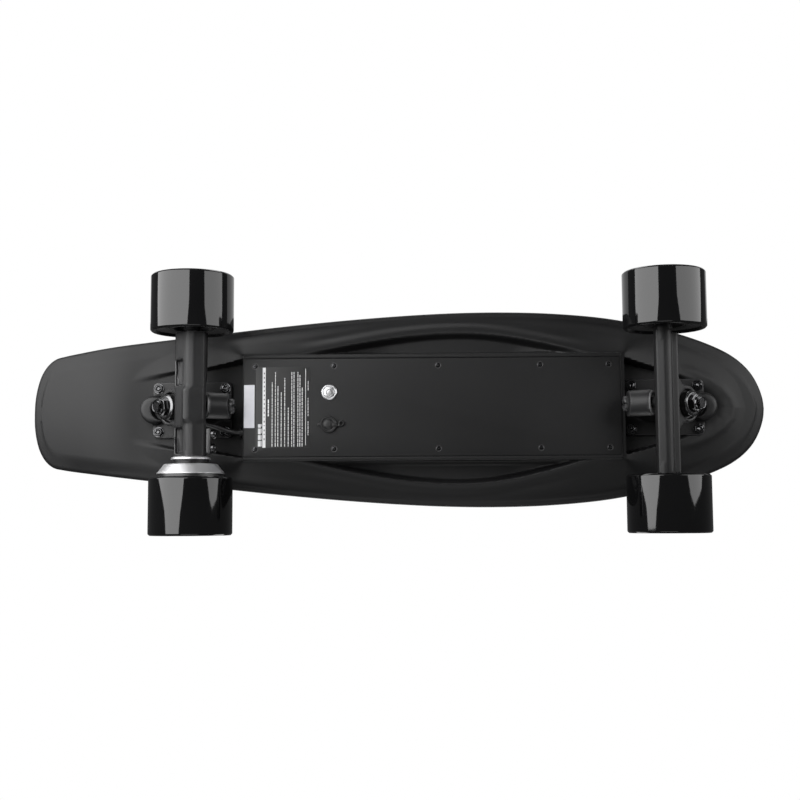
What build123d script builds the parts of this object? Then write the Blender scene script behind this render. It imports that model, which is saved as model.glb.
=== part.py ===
from build123d import *
import os
from math import atan2, cos, degrees, hypot, radians, sin, tan

# Electric skateboard with a moulded deck, battery box, rear-left hub motor and reverse-kingpin trucks.
# Millimetres. The board stands on its wheels on z = 0, +X is the nose, +Y the left side.
# The origin is the middle of the board's footprint, on the ground.

# ---- driving dimensions ---------------------------------------------------------------------
DECK_LENGTH = 712.0
DECK_THICK = 11.0
DECK_MID_Z = 107.5
TAIL_BEND_X = -252.0
TAIL_BEND_R = 150.0
TAIL_ANGLE = 20.0
NOSE_BEND_X = 215.0
NOSE_BEND_R = 650.0
NOSE_ANGLE = 13.5
GRIP_THICK = 0.9
GRIP_MARGIN = 5.0

# half widths of the deck at stations along its length
OUTLINE = [(-351, 37), (-328, 54.5), (-242, 66.4), (-111, 81), (4, 90.8), (95, 93.8),
           (196, 88.1), (262, 75), (308, 59.8), (333, 45.2), (350, 26)]

BELLY_Z = 76.0
BELLY_TOP_Z = 102.5
MOUNT_Z = 103.0
BOX_X0 = -144.5
BOX_X1 = 215.5
BOX_HALF_W = 50.0
BAY_TOP_Z = 108.0
COVER_X = 35.7
COVER_LENGTH = 351.6
COVER_WIDTH = 91.9
COVER_THICK = 2.0
COVER_Z = 76.5
COVER_GAP = 0.3
SCREW_XS = [-131.0, -57.0, 40.5, 136.0, 200.0]
SCREW_Y = 39.0

WHEEL_R = 37.5
WHEEL_IN = 65.8
WHEEL_OUT = 117.8
TRUCK_FRONT_X = 255.7
TRUCK_REAR_X = -193.8
AXLE_OFFSET = -10.4
AXLE_R = 4.0
BOLT_DX = 31.75
BOLT_DY = 20.65
STEER_RUN = 0.05

# truck geometry in the truck's own frame: x outward from the bolt centre, z up
RING_X, RING_Z = 11.5, 70.0
KINGPIN_ANGLE = 48.0
CUP_X, CUP_Z = -21.0, 47.5
CUP_ANGLE = 30.0
CUP_DEPTH = 4.0
BAR_X, BAR_Z, BAR_R = -12.5, 38.0, 8.4

MOTOR_SHAFT_R = 6.0
CELL_R = 9.15
CELL_LENGTH = 65.0
CELL_COUNT = 12
CELL_PITCH = 18.6
CELL_X0 = -17.0
CELL_Z = 93.2
CABLE_WALL = (22.5, 84.0)
BUTTON_X, BUTTON_Y = -61.5, -14.2
PORT_X, PORT_Y = -62.0, 16.0
CAP_FOLD_X = -53.2
CABLE_R = 2.1

os.makedirs("parts", exist_ok=True)


# ---- helpers --------------------------------------------------------------------------------
def save(name, shape):
    """Write one node, as a compound of its separate solids."""
    solids = list(shape.solids())
    export_step(solids[0] if len(solids) == 1 else Compound(children=solids), f"parts/{name}.step")


def block(x0, x1, y0, y1, z0, z1):
    return Pos((x0 + x1) / 2, (y0 + y1) / 2, (z0 + z1) / 2) * Box(x1 - x0, y1 - y0, z1 - z0)


def upright(x, y, z0, z1, radius):
    return Pos(x, y, (z0 + z1) / 2) * Cylinder(radius, z1 - z0)


def crosswise(x, z, y0, y1, radius):
    """A round bar along Y."""
    return Pos(x, (y0 + y1) / 2, z) * Rot(90, 0, 0) * Cylinder(radius, y1 - y0)


def side_prism(points, half_width):
    """A polygon in the XZ plane, as thick as twice half_width across Y."""
    face = make_face(Polyline(*[(x, 0, z) for x, z in points], close=True))
    return extrude(face, half_width, dir=(0, 1, 0), both=True)


def turned(profile, x, z, side=1):
    """A profile of (distance along Y, radius) points, turned about an axis along Y."""
    points = [(x, side * y, z + radius) for y, radius in profile]
    face = make_face(Polyline(*points, close=True))
    return revolve(face, Axis((x, 0, z), (0, 1, 0)))


def ring(plane, low, high, outer, inner=0.0):
    """A round piece along a plane's normal, hollow if inner is given."""
    piece = plane.offset(low) * extrude(Circle(outer), high - low)
    if inner:
        piece -= plane.offset(low - 1) * extrude(Circle(inner), high - low + 2)
    return piece


def hex_nut(plane, low, high, across_flats, bore):
    nut = plane.offset(low) * extrude(RegularPolygon(across_flats / 2, 6, major_radius=False), high - low)
    round_off = plane.offset(low) * extrude(Circle(across_flats * 0.56), high - low)
    return (nut & round_off) - plane.offset(low - 1) * extrude(Circle(bore), high - low + 2)


# ---- deck -----------------------------------------------------------------------------------
def deck_layer(low, high):
    """The deck's side view between two heights above its mid line, as wide as the whole board."""
    tail = radians(TAIL_ANGLE)
    nose = radians(NOSE_ANGLE)
    tail_run = 90.0

    def point(x, z, angle, lift):
        return (x - sin(angle) * lift, 0, z + cos(angle) * lift)

    def tail_arc(angle, lift):
        return point(TAIL_BEND_X - TAIL_BEND_R * sin(angle),
                     DECK_MID_Z + TAIL_BEND_R * (1 - cos(angle)), -angle, lift)

    def nose_arc(angle, lift):
        return point(NOSE_BEND_X + NOSE_BEND_R * sin(angle),
                     DECK_MID_Z + NOSE_BEND_R * (1 - cos(angle)), angle, lift)

    def tail_tip(lift):
        x, _, z = tail_arc(tail, lift)
        return (x - tail_run * cos(tail), 0, z + tail_run * sin(tail))

    def edge(lift):
        return [Line(tail_tip(lift), tail_arc(tail, lift)),
                ThreePointArc(tail_arc(tail, lift), tail_arc(tail / 2, lift), tail_arc(0, lift)),
                Line(tail_arc(0, lift), nose_arc(0, lift)),
                ThreePointArc(nose_arc(0, lift), nose_arc(nose / 2, lift), nose_arc(nose, lift))]

    ends = [Line(tail_tip(low), tail_tip(high)), Line(nose_arc(nose, low), nose_arc(nose, high))]
    face = make_face(edge(low) + edge(high) + ends)
    return extrude(face, 110, dir=(0, 1, 0), both=True)


def planform(margin=0.0):
    """The deck seen from above, optionally drawn in from its edge."""
    half = DECK_LENGTH / 2
    outline = [(x * (1 - margin / half), y - margin) for x, y in OUTLINE]
    tail_x, tail_y = outline[0]
    nose_x, nose_y = outline[-1]
    face = make_face([
        Spline(*outline),
        Spline(*[(x, -y) for x, y in outline]),
        ThreePointArc((nose_x, nose_y), (half - margin, 0), (nose_x, -nose_y)),
        ThreePointArc((tail_x, tail_y), (margin - half, 0), (tail_x, -tail_y))])
    return Pos(0, 0, 60) * extrude(face, 120)


def belly():
    """The thick middle of the deck, from the box's underside out to the rim."""
    low = Pos(0, 0, BELLY_Z) * make_face([
        Line((BOX_X0, -BOX_HALF_W), (BOX_X1, -BOX_HALF_W)),
        Line((BOX_X1, -BOX_HALF_W), (BOX_X1, BOX_HALF_W)),
        Line((BOX_X1, BOX_HALF_W), (BOX_X0, BOX_HALF_W)),
        Line((BOX_X0, BOX_HALF_W), (BOX_X0, -BOX_HALF_W))])
    side = [(-240, 38), (-144, 66), (60, 86), (215, 74), (305, 36)]
    high = Pos(0, 0, BELLY_TOP_Z) * make_face([
        Spline(*[(x, -y) for x, y in side]),
        ThreePointArc((305, -36), (328, 0), (305, 36)),
        Spline(*reversed(side)),
        ThreePointArc((-240, 38), (-258, 0), (-240, -38))])
    body = loft([low.face(), high.face()], ruled=True)
    return (body + extrude(high.face(), 25)) & deck_layer(-60, 0)


def truck_pocket(x_box, x_wide, x_end, half_box, half_wide, half_end):
    """The recess that a truck's baseplate is bolted into, narrowing away from the box."""
    right = [(x_box, -half_box), (x_wide, -half_wide), (x_end, -half_end)]
    left = [(x, -y) for x, y in reversed(right)]
    face = make_face(Polyline(*right, *left, close=True))
    return Pos(0, 0, 60) * extrude(face, MOUNT_Z - 60)


def side_scoop(side):
    """A lens-shaped recess along the battery box."""
    a, b = (-98, side * 50.5), (187, side * 50.5)
    face = make_face([ThreePointArc(a, (52, side * 72.5), b), Line(b, a)])
    return Pos(0, 0, 60) * extrude(face, 37)


def mounting_points():
    return [(cx + sx * BOLT_DX, sy * BOLT_DY)
            for cx in (TRUCK_FRONT_X, TRUCK_REAR_X) for sx in (-1, 1) for sy in (-1, 1)]


def deck_shell():
    plate = deck_layer(-DECK_THICK / 2, DECK_THICK / 2) & planform()
    shell = plate + (belly() & planform(2.0))
    shell -= truck_pocket(BOX_X0, -200, -250, 48.5, 41, 33)
    shell -= truck_pocket(BOX_X1, 262, 305, 48.5, 38, 24)
    shell -= side_scoop(1)
    shell -= side_scoop(-1)
    bay = block(BOX_X0 + 7.5, BOX_X1 - 6.5, -44, 44, BELLY_Z - 1, BAY_TOP_Z)
    for x in SCREW_XS:
        for side in (-1, 1):
            bay -= upright(x, side * SCREW_Y, COVER_Z, BAY_TOP_Z + 1, 3.6)
            bay -= block(x - 2, x + 2, min(side * SCREW_Y, side * 46), max(side * SCREW_Y, side * 46),
                         COVER_Z, BAY_TOP_Z + 1)
    shell -= bay
    shell -= block(COVER_X - COVER_LENGTH / 2 - COVER_GAP, COVER_X + COVER_LENGTH / 2 + COVER_GAP,
                   -COVER_WIDTH / 2 - COVER_GAP, COVER_WIDTH / 2 + COVER_GAP,
                   BELLY_Z - 1, COVER_Z + COVER_THICK)
    for x in SCREW_XS:
        for side in (-1, 1):
            shell -= upright(x, side * SCREW_Y, COVER_Z, COVER_Z + 14, 1.55)
    for x, y in mounting_points():
        shell -= upright(x, y, 95, 120, 2.65)
        shell -= Pos(x, y, 111.4) * Cone(2.65, 4.8, 3.2)
    shell -= Pos(BOX_X0, CABLE_WALL[0], CABLE_WALL[1]) * Rot(0, 90, 0) * Cylinder(4.0, 20)
    return shell


def grip_tape():
    sheet = deck_layer(DECK_THICK / 2, DECK_THICK / 2 + GRIP_THICK) & planform(GRIP_MARGIN)
    for x, y in mounting_points():
        sheet -= upright(x, y, 100, 130, 5.2)
    return sheet


def mounting_bolts():
    bolts = []
    for x, y in mounting_points():
        bolt = upright(x, y, 91.5, 112.9, 2.5)
        bolt += Pos(x, y, 111.5) * Cone(2.5, 4.6, 2.8)
        bolt -= upright(x, y, 111.2, 113, 1.6)
        bolts.append(bolt)
    return Compound(children=bolts)


def mounting_nuts():
    return Compound(children=[hex_nut(Plane((x, y, 0)), 93.0, 97.5, 8.0, 2.52)
                              for x, y in mounting_points()])


# ---- battery box ----------------------------------------------------------------------------
def battery_cover():
    cover = block(COVER_X - COVER_LENGTH / 2, COVER_X + COVER_LENGTH / 2,
                  -COVER_WIDTH / 2, COVER_WIDTH / 2, COVER_Z, COVER_Z + COVER_THICK)
    cover = fillet(cover.edges().filter_by(Axis.Z), 2.0)
    for x in SCREW_XS:
        for side in (-1, 1):
            cover -= upright(x, side * SCREW_Y, COVER_Z - 1, COVER_Z + 3, 1.6)
            cover -= Pos(x, side * SCREW_Y, COVER_Z + 0.6) * Cone(2.9, 1.6, 1.2)
    cover -= upright(BUTTON_X, BUTTON_Y, COVER_Z - 1, COVER_Z + 3, 6.1)
    cover -= upright(PORT_X, PORT_Y, COVER_Z - 1, COVER_Z + 3, 5.6)
    cover -= upright(CAP_FOLD_X + 3.2, PORT_Y - 0.9, COVER_Z - 1, COVER_Z + 3, 1.52)
    return cover


def cover_screws():
    screws = []
    for x in SCREW_XS:
        for side in (-1, 1):
            screw = upright(x, side * SCREW_Y, COVER_Z, COVER_Z + 12, 1.5)
            screw += Pos(x, side * SCREW_Y, COVER_Z + 0.6) * Cone(2.8, 1.55, 1.2)
            screw -= upright(x, side * SCREW_Y, COVER_Z - 1, COVER_Z + 0.9, 0.8)
            screws.append(screw)
    return Compound(children=screws)


def cell_x(index):
    return CELL_X0 + index * CELL_PITCH


def battery_cells():
    cells = []
    for index in range(CELL_COUNT):
        cell = crosswise(cell_x(index), CELL_Z, -CELL_LENGTH / 2 + 1, CELL_LENGTH / 2 - 1, CELL_R)
        way = 1 if index % 2 else -1
        y0, y1 = sorted((way * (CELL_LENGTH / 2 - 1), way * CELL_LENGTH / 2))
        cells.append(cell + crosswise(cell_x(index), CELL_Z, y0, y1, 3.5))
    return Compound(children=cells)


def cell_holders():
    holders = []
    for side in (-1, 1):
        y0, y1 = sorted((side * 25, side * 30))
        holder = block(cell_x(0) - 11, cell_x(CELL_COUNT - 1) + 11, y0, y1, CELL_Z - 11, CELL_Z + 11)
        for index in range(CELL_COUNT):
            holder -= crosswise(cell_x(index), CELL_Z, y0 - 1, y1 + 1, CELL_R + 0.08)
        holders.append(holder)
    return Compound(children=holders)


def circuit_board(x0, x1, y0, y1, z0, z1, chips):
    """A bare board with its parts standing on it, as one fixed assembly."""
    board = block(x0, x1, y0, y1, z0, z1)
    for cx0, cx1, cy0, cy1, cz0, cz1 in chips:
        board += block(cx0, cx1, cy0, cy1, cz0, cz1)
    return board


def controller_case():
    case = block(-136, -84, -31, 31, 80.5, 104)
    case -= block(-133, -83, -28.5, 28.5, 83, 101.5)
    for index in range(9):
        y = -28 + 7 * index
        case += block(-136, -84, y - 0.9, y + 0.9, 104, 107)
    return case


def controller_board():
    chips = [(-128, -116, -24 + 9 * n, -18 + 9 * n, 89.6, 92.5) for n in range(6)]
    chips += [(-104, -90, -22, -8, 89.6, 97), (-104, -90, 6, 20, 89.6, 97)]
    return circuit_board(-133, -86, -28.5, 28.5, 88, 89.6, chips)


def battery_board():
    chips = [(-32.4, -30, -24 + 9 * n, -18 + 9 * n, 88, 94) for n in range(6)]
    return circuit_board(-34, -32.4, -30, 30, 84, 104, chips)


def receiver_board():
    chips = [(-70, -60, 24, 31, 96, 98), (-56, -50, 25, 29, 96, 97.5)]
    return circuit_board(-74, -46, 22, 33, BAY_TOP_Z - 13.6, 96, chips)


def button_housing():
    x, y = BUTTON_X, BUTTON_Y
    housing = upright(x, y, COVER_Z, 100, 6.0)
    housing += upright(x, y, COVER_Z - 1.5, COVER_Z, 7.5)
    housing -= upright(x, y, COVER_Z - 2, 80.5, 5.4)
    return housing


def button_cap():
    cap = upright(BUTTON_X, BUTTON_Y, COVER_Z - 2.0, COVER_Z + 2.0, 5.3)
    return chamfer(cap.faces().sort_by(Axis.Z)[0].edges(), 0.4)


def charge_port():
    x, y = PORT_X, PORT_Y
    port = upright(x, y, COVER_Z, 98, 5.5)
    port += upright(x, y, COVER_Z - 1.2, COVER_Z, 7.0)
    port -= upright(x, y, COVER_Z - 2, 90, 4.0)
    port += upright(x, y, 82, 91, 1.0)
    return port


def panel_nuts():
    inside = COVER_Z + COVER_THICK
    button = hex_nut(Plane((BUTTON_X, BUTTON_Y, 0)), inside, inside + 2.5, 15, 6.02)
    port = hex_nut(Plane((PORT_X, PORT_Y, 0)), inside, inside + 2.5, 14, 5.52)
    return Compound(children=[button, port])


def charge_port_cap():
    """Rubber cap with its plug, pull tab and strap; the strap folds where it meets the anchor."""
    x, y = PORT_X, PORT_Y
    under = COVER_Z - 1.2
    cap = upright(x, y, under - 2.4, under, 7.8)
    cap = fillet(cap.faces().sort_by(Axis.Z)[0].edges(), 1.0)
    cap += upright(x, y, under, under + 2, 3.3)
    cap += block(x - 10.2, x - 6, y - 1.6, y + 1.6, under - 1.6, under)
    return cap + block(x + 6, CAP_FOLD_X, y - 2.4, y + 0.6, under - 1.4, under)


def charge_cap_anchor():
    """The fixed end of the cap's strap, a rubber button held in the cover."""
    under = COVER_Z - 1.2
    y = PORT_Y - 0.9
    anchor = block(CAP_FOLD_X + 0.05, CAP_FOLD_X + 3, y - 1.5, y + 1.5, under - 1.4, under)
    anchor += upright(CAP_FOLD_X + 3.2, y, under - 1.4, COVER_Z, 2.8)
    return anchor + upright(CAP_FOLD_X + 3.2, y, COVER_Z, COVER_Z + 2.5, 1.5)


def labels():
    info = block(-130.4, -79.4, -38.2, 38.2, COVER_Z - 0.15, COVER_Z)
    serial = block(-139.6, -131.8 - 0.6, -21.5, 19.5, COVER_Z - 0.15, COVER_Z)
    for side in (-1, 1):
        info -= upright(SCREW_XS[0], side * SCREW_Y, 70, 80, 3.2)
    return Compound(children=[info, serial])


# ---- trucks ---------------------------------------------------------------------------------
KING = (cos(radians(KINGPIN_ANGLE)), 0, -sin(radians(KINGPIN_ANGLE)))
CUP = (-cos(radians(CUP_ANGLE)), 0, sin(radians(CUP_ANGLE)))
KINGPIN_PLANE = Plane(origin=(RING_X, 0, RING_Z), x_dir=(0, 1, 0), z_dir=KING)
CUP_PLANE = Plane(origin=(CUP_X, 0, CUP_Z), x_dir=(0, 1, 0), z_dir=CUP)
PIVOT = (CUP_X + CUP_DEPTH * CUP[0], 0, CUP_Z + CUP_DEPTH * CUP[2])
BOSS_END_X = -42.0


def front(shape):
    return Pos(TRUCK_FRONT_X, 0, 0) * shape


def rear(shape):
    return Pos(TRUCK_REAR_X, 0, 0) * Rot(0, 0, 180) * shape


def baseplate():
    plate = block(-38.5, 37.5, -27, 27, 97.5, MOUNT_Z)
    plate = fillet(plate.edges().filter_by(Axis.Z), 5)
    lobe = upright(34.5, 0, 85, 99, 13.5)
    lobe = fillet(lobe.faces().sort_by(Axis.Z)[0].edges(), 7)
    plate += lobe
    seat = ring(KINGPIN_PLANE, -46, -17, 14)
    tower = ring(CUP_PLANE, 0, 45, 12)
    web = side_prism([(-17, 56), (-20, 99), (-37, 99), (-38.5, 74), (-42, 70), (-42, 60)], 10)
    room = block(BOSS_END_X, 60, -40, 40, 20, MOUNT_Z)
    plate += (seat + tower + web) & room
    plate -= upright(26.2, 0, 80, 96, 10.8)
    plate -= ring(KINGPIN_PLANE, -60, -10, 5.06)
    plate -= ring(KINGPIN_PLANE, -60, -28, 8.6)
    plate -= ring(CUP_PLANE, -1, 14, 7.5)
    plate -= ring(CUP_PLANE, 19, 60, 6.5)
    for sx in (-1, 1):
        for sy in (-1, 1):
            plate -= upright(sx * BOLT_DX, sy * BOLT_DY, 90, 110, 2.65)
    return plate


def pivot_cup():
    cup = ring(CUP_PLANE, 0, 14, 7.5)
    ball_room = Pos(*PIVOT) * Sphere(5.06)
    mouth = CUP_PLANE.offset(CUP_DEPTH) * Rot(180, 0, 0) * Pos(0, 0, 2.2) * Cone(5.0, 7.1, 4.5)
    return cup - ball_room - mouth


def pivot_plug():
    plug = ring(CUP_PLANE, 19.5, 34, 6.48) & block(BOSS_END_X, 0, -20, 20, 20, 140)
    rise = (CUP_X - BOSS_END_X) * tan(radians(CUP_ANGLE))
    head = Pos(BOSS_END_X, 0, CUP_Z + rise) * Rot(0, -90, 0) * extrude(Circle(7.25), 4.5, taper=20)
    return plug + head


def kingpin():
    pin = ring(KINGPIN_PLANE, -28, 21, 5.0)
    head = KINGPIN_PLANE.offset(-34) * extrude(RegularPolygon(7.15, 6, major_radius=False), 6)
    return pin + (head & ring(KINGPIN_PLANE, -34, -28, 8.0))


def bushing(low, high, wide, narrow, waist):
    """A urethane bushing, waisted between its two ends."""
    profile = [(5.1, low), (wide, low), (wide, low + 2), (waist, (low + high) / 2),
               (narrow, high - 2), (narrow, high), (5.1, high)]
    face = make_face(Polyline(*[(r, 0, z) for r, z in profile], close=True))
    return KINGPIN_PLANE * revolve(face, Axis.Z)


def bushing_washers():
    upper = ring(KINGPIN_PLANE, -17, -15.5, 12.6, 5.06)
    lower = ring(KINGPIN_PLANE, 10.5, 12, 12.0, 5.06)
    lip = ring(KINGPIN_PLANE, 9.2, 10.5, 12.0, 11.0)
    return [upper, lower + lip]


def ring_and_gusset():
    """The hanger's kingpin ring, with the tapering plate that joins it to the bar."""
    seat = ring(KINGPIN_PLANE, -6, 6, 17.5)
    sweep = [(-34, 34), (-22, 33), (-8, 17.5), (4, 15)]
    outline = [(-y, n) for n, y in sweep] + [(y, n) for n, y in reversed(sweep)]
    flip = 1 if KINGPIN_PLANE.y_dir.Z > 0 else -1
    face = make_face(Polyline(*[(y, flip * n) for y, n in outline], close=True))
    return seat + KINGPIN_PLANE.offset(-3) * extrude(face, 9)


def ring_cuts():
    cuts = ring(KINGPIN_PLANE, -30, 40, 7.2)
    cuts += ring(KINGPIN_PLANE, -30, -2, 14)
    return cuts + ring(KINGPIN_PLANE, 2, 40, 14)


def pivot_nub():
    reach = hypot(BAR_X - PIVOT[0], BAR_Z - PIVOT[2])
    way = ((BAR_X - PIVOT[0]) / reach, 0, (BAR_Z - PIVOT[2]) / reach)
    shank = Plane(origin=PIVOT, z_dir=way) * Pos(0, 0, reach / 2) * Cone(3.5, 7.2, reach)
    return shank + Pos(*PIVOT) * Sphere(5.0)


def hanger_front():
    axle_x = AXLE_OFFSET
    body = crosswise(BAR_X, BAR_Z, -70, 70, BAR_R)
    body += side_prism([(-17, 42), (0, 53.5), (7.5, 51.5), (6, 47), (-9, 32)], 60)
    body += ring_and_gusset()
    body -= ring_cuts() + ring(CUP_PLANE, -2.5, 40, 15)
    body += pivot_nub()
    for side in (-1, 1):
        y0, y1 = sorted((side * 66, side * 78.5))
        body += crosswise(axle_x, WHEEL_R, y0, y1, 7.0)
    return body - crosswise(axle_x, WHEEL_R, -90, 90, AXLE_R)


REAR_SECTION = [(-7.5, 26), (-24, 35.5), (-23, 41.5), (-13, 49), (0, 55), (6.5, 49), (3, 38)]


def cable_port(radius):
    """A drilling along the motor cable's first run, in the truck's own frame."""
    start, corner = [(TRUCK_REAR_X - x, -y, z) for x, y, z in CABLE_POINTS[:2]]
    way = [b - a for a, b in zip(start, corner)]
    return Plane(origin=start, z_dir=way) * extrude(Circle(radius), 24)


def hanger_rear():
    """Box-section casting; the motor's side is at negative y in the truck's frame."""
    axle_x = AXLE_OFFSET
    body = extrude(make_face(Polyline(*[(x, 0, z) for x, z in REAR_SECTION], close=True)),
                   64, dir=(0, 1, 0))
    body += extrude(make_face(Polyline(*[(x, 0, z) for x, z in REAR_SECTION], close=True)),
                    47, dir=(0, -1, 0))
    body += crosswise(-8.5, 41, -16, 16, 15.2) & block(-23, 12, -16, 16, 24, 58)
    for y0, y1 in ((-43, -20), (22, 45)):
        body -= side_prism([(-4, 27), (12, 33), (12, 43), (0, 38)], (y1 - y0) / 2).moved(
            Location((0, (y0 + y1) / 2, 0)))
    body += block(-24.4, -10, -46, -20.5, 33, 46)
    body += ring_and_gusset()
    body -= ring_cuts() + ring(CUP_PLANE, -2.5, 40, 15)
    body += pivot_nub()
    body += crosswise(axle_x, WHEEL_R, 60, 78.5, 7.0)
    body -= crosswise(axle_x, WHEEL_R, 8, 90, AXLE_R)
    body -= crosswise(axle_x, WHEEL_R, -60, -8, 5.0)
    body -= cable_port(2.5)
    for y in (-27, -39.7):
        body -= Pos(-20, y, 39.5) * Rot(0, 90, 0) * Cylinder(2.52, 9.2)
    return body


def shaft_clamp():
    plate = block(-28.4, -24.4, -45, -21.5, 33.5, 45.5)
    plate = fillet(plate.edges().filter_by(Axis.X), 2)
    for y in (-27, -39.7):
        plate -= Pos(-26.4, y, 39.5) * Rot(0, 90, 0) * Cylinder(2.7, 8)
    return plate


def clamp_screws():
    screws = []
    for y in (-27, -39.7):
        screw = Pos(-22.2, y, 39.5) * Rot(0, 90, 0) * Cylinder(2.5, 12.4)
        head = Pos(-30.7, y, 39.5) * Rot(0, 90, 0) * Cylinder(4.2, 4.6)
        socket = Pos(-32, y, 39.5) * Rot(0, 90, 0) * extrude(RegularPolygon(2, 6), 6, both=True)
        screws.append(screw + (head - (socket & block(-34, -30.5, y - 3, y + 3, 30, 50))))
    return Compound(children=screws)


# ---- wheels ---------------------------------------------------------------------------------
FRONT_AXLE_X = TRUCK_FRONT_X + AXLE_OFFSET
REAR_AXLE_X = TRUCK_REAR_X - AXLE_OFFSET
BEARING_IN = (80.0, 87.0)
BEARING_OUT = (97.0, 104.0)


def tyre(x, side, bore):
    edge = 3.2
    profile = [(WHEEL_IN, bore), (WHEEL_IN, WHEEL_R - edge), (WHEEL_IN + 0.9, WHEEL_R - 0.9),
               (WHEEL_IN + edge, WHEEL_R), (WHEEL_OUT - edge, WHEEL_R),
               (WHEEL_OUT - 0.9, WHEEL_R - 0.9), (WHEEL_OUT, WHEEL_R - edge), (WHEEL_OUT, bore)]
    return turned(profile, x, WHEEL_R, side)


def wheel_core(x, side):
    profile = [(70.5, 13.5), (69, 19.5), (115, 19.5), (113.5, 13.5), (104, 11), (97, 11), (97, 8.5),
               (87, 8.5), (87, 11), (80, 11)]
    return turned(profile, x, WHEEL_R, side)


def bearing(x, side, span, outer, inner):
    """A sealed ball bearing: rings, and the shields set back between them."""
    y0, y1 = span
    step = (outer - inner) * 0.22
    profile = [(y0, inner), (y0, inner + step), (y0 + 0.5, inner + step), (y0 + 0.5, outer - step),
               (y0, outer - step), (y0, outer), (y1, outer), (y1, outer - step),
               (y1 - 0.5, outer - step), (y1 - 0.5, inner + step), (y1, inner + step), (y1, inner)]
    return turned(profile, x, WHEEL_R, side)


def wheel_bearings(x, side):
    return Compound(children=[bearing(x, side, BEARING_IN, 11.0, AXLE_R + STEER_RUN),
                              bearing(x, side, BEARING_OUT, 11.0, AXLE_R + STEER_RUN)])


def washer(x, side, y0, y1, outer, inner):
    return turned([(y0, inner), (y0, outer), (y1, outer), (y1, inner)], x, WHEEL_R, side)


def axle_spacers(x, sides):
    """Speed washers outside each bearing and the spacer tube between the two."""
    pieces = []
    for side in sides:
        pieces.append(washer(x, side, 78.5, 79.95, 6.2, 4.02))
        pieces.append(washer(x, side, 87.05, 96.95, 5.4, 4.02))
        pieces.append(washer(x, side, 104.05, 105.5, 6.2, 4.02))
    return pieces


def axle_nut(x, side, y0, y1, across_flats, bore):
    plane = Plane(origin=(x, 0, WHEEL_R), x_dir=(1, 0, 0), z_dir=(0, side, 0))
    return hex_nut(plane, y0, y1, across_flats, bore)


# ---- hub motor (rear left wheel) ------------------------------------------------------------
CAN_R = 30.5
CAN_BORE = 27.5
MAGNET_R = 25.9
STATOR_R = 25.2
MOTOR_SPAN = (73.0, 98.0)


def at_motor(profile):
    return turned(profile, REAR_AXLE_X, WHEEL_R, 1)


def rotor_can():
    return at_motor([(66.2, CAN_BORE), (66.2, CAN_R), (117.3, CAN_R), (116, 20), (114.5, 12), (104, 12),
                     (104, 16), (110, 18), (110, CAN_BORE)])


def motor_cover():
    return at_motor([(54, 13.2), (54, 23.5), (62.8, 31.0), (65.8, 31.0), (65.8, 30.4), (66.2, 30.4),
                     (66.2, 27.45), (70, 27.45), (70, 25.5), (66, 16.5), (66, 14), (57, 14), (57, 13.2)])


def magnets():
    y0, y1 = MOTOR_SPAN
    band = at_motor([(y0 - 1, MAGNET_R), (y0 - 1, CAN_BORE), (y1 + 1, CAN_BORE), (y1 + 1, MAGNET_R)])
    count = 14
    pieces = []
    for index in range(count):
        angle = 360 / count * index
        wedge = Pos(REAR_AXLE_X, 0, WHEEL_R) * Rot(0, angle, 0) * block(20, 30, y0 - 2, y1 + 2, -5.2, 5.2)
        pieces += list((band & wedge).solids())
    return Compound(children=pieces)


def on_teeth(piece):
    count = 12
    return [Pos(REAR_AXLE_X, 0, WHEEL_R) * Rot(0, 360 / count * index, 0) * piece
            for index in range(count)]


def stator_core():
    y0, y1 = MOTOR_SPAN
    core = at_motor([(y0, 5.98), (y0, 11.5), (y1, 11.5), (y1, 5.98)])
    tooth = block(10, 23.6, y0, y1, -1.6, 1.6)
    shoe = block(22.8, 25.4, y0, y1, -5.0, 5.0)
    limit = at_motor([(y0, 5.98), (y0, STATOR_R), (y1, STATOR_R), (y1, 5.98)])
    for piece in on_teeth(tooth + shoe):
        core += piece & limit
    return core - crosswise(REAR_AXLE_X, WHEEL_R, y0 - 1, y1 + 1, MOTOR_SHAFT_R)


def stator_windings():
    y0, y1 = MOTOR_SPAN
    coil = block(13.2, 22.6, y0 - 3, y1 + 3, -3.1, 3.1) - block(12, 24, y0 - 0.05, y1 + 0.05, -1.65, 1.65)
    return Compound(children=on_teeth(coil))


def motor_bearings():
    return Compound(children=[bearing(REAR_AXLE_X, 1, (57, 65), 14.0, MOTOR_SHAFT_R + STEER_RUN),
                              bearing(REAR_AXLE_X, 1, (105, 112), 12.0, MOTOR_SHAFT_R + STEER_RUN)])


def motor_shaft():
    shaft = crosswise(REAR_AXLE_X, WHEEL_R, 47, 116, MOTOR_SHAFT_R)
    shaft += crosswise(REAR_AXLE_X, WHEEL_R, 9, 48, 5.0)
    shaft -= crosswise(REAR_AXLE_X, WHEEL_R, 14, 69, 2.6)
    return shaft - rear(cable_port(2.13))


# ---- motor cable ----------------------------------------------------------------------------
CABLE_POINTS = [(-183.4, 15.5, 37.5), (-172.5, 16.3, 61.5), (-153.5, 22.5, 84.0), (-136.0, 22.5, 84.0)]


def cable_radii(points):
    """The largest arc each corner allows: 0.45 of its shorter run over the tangent of half the turn."""
    radii = []
    for before, corner, after in zip(points, points[1:], points[2:]):
        into = Vector(*corner) - Vector(*before)
        out = Vector(*after) - Vector(*corner)
        turn = radians(into.get_angle(out))
        radii.append(0.45 * min(into.length, out.length) / tan(turn / 2))
    return radii


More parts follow.
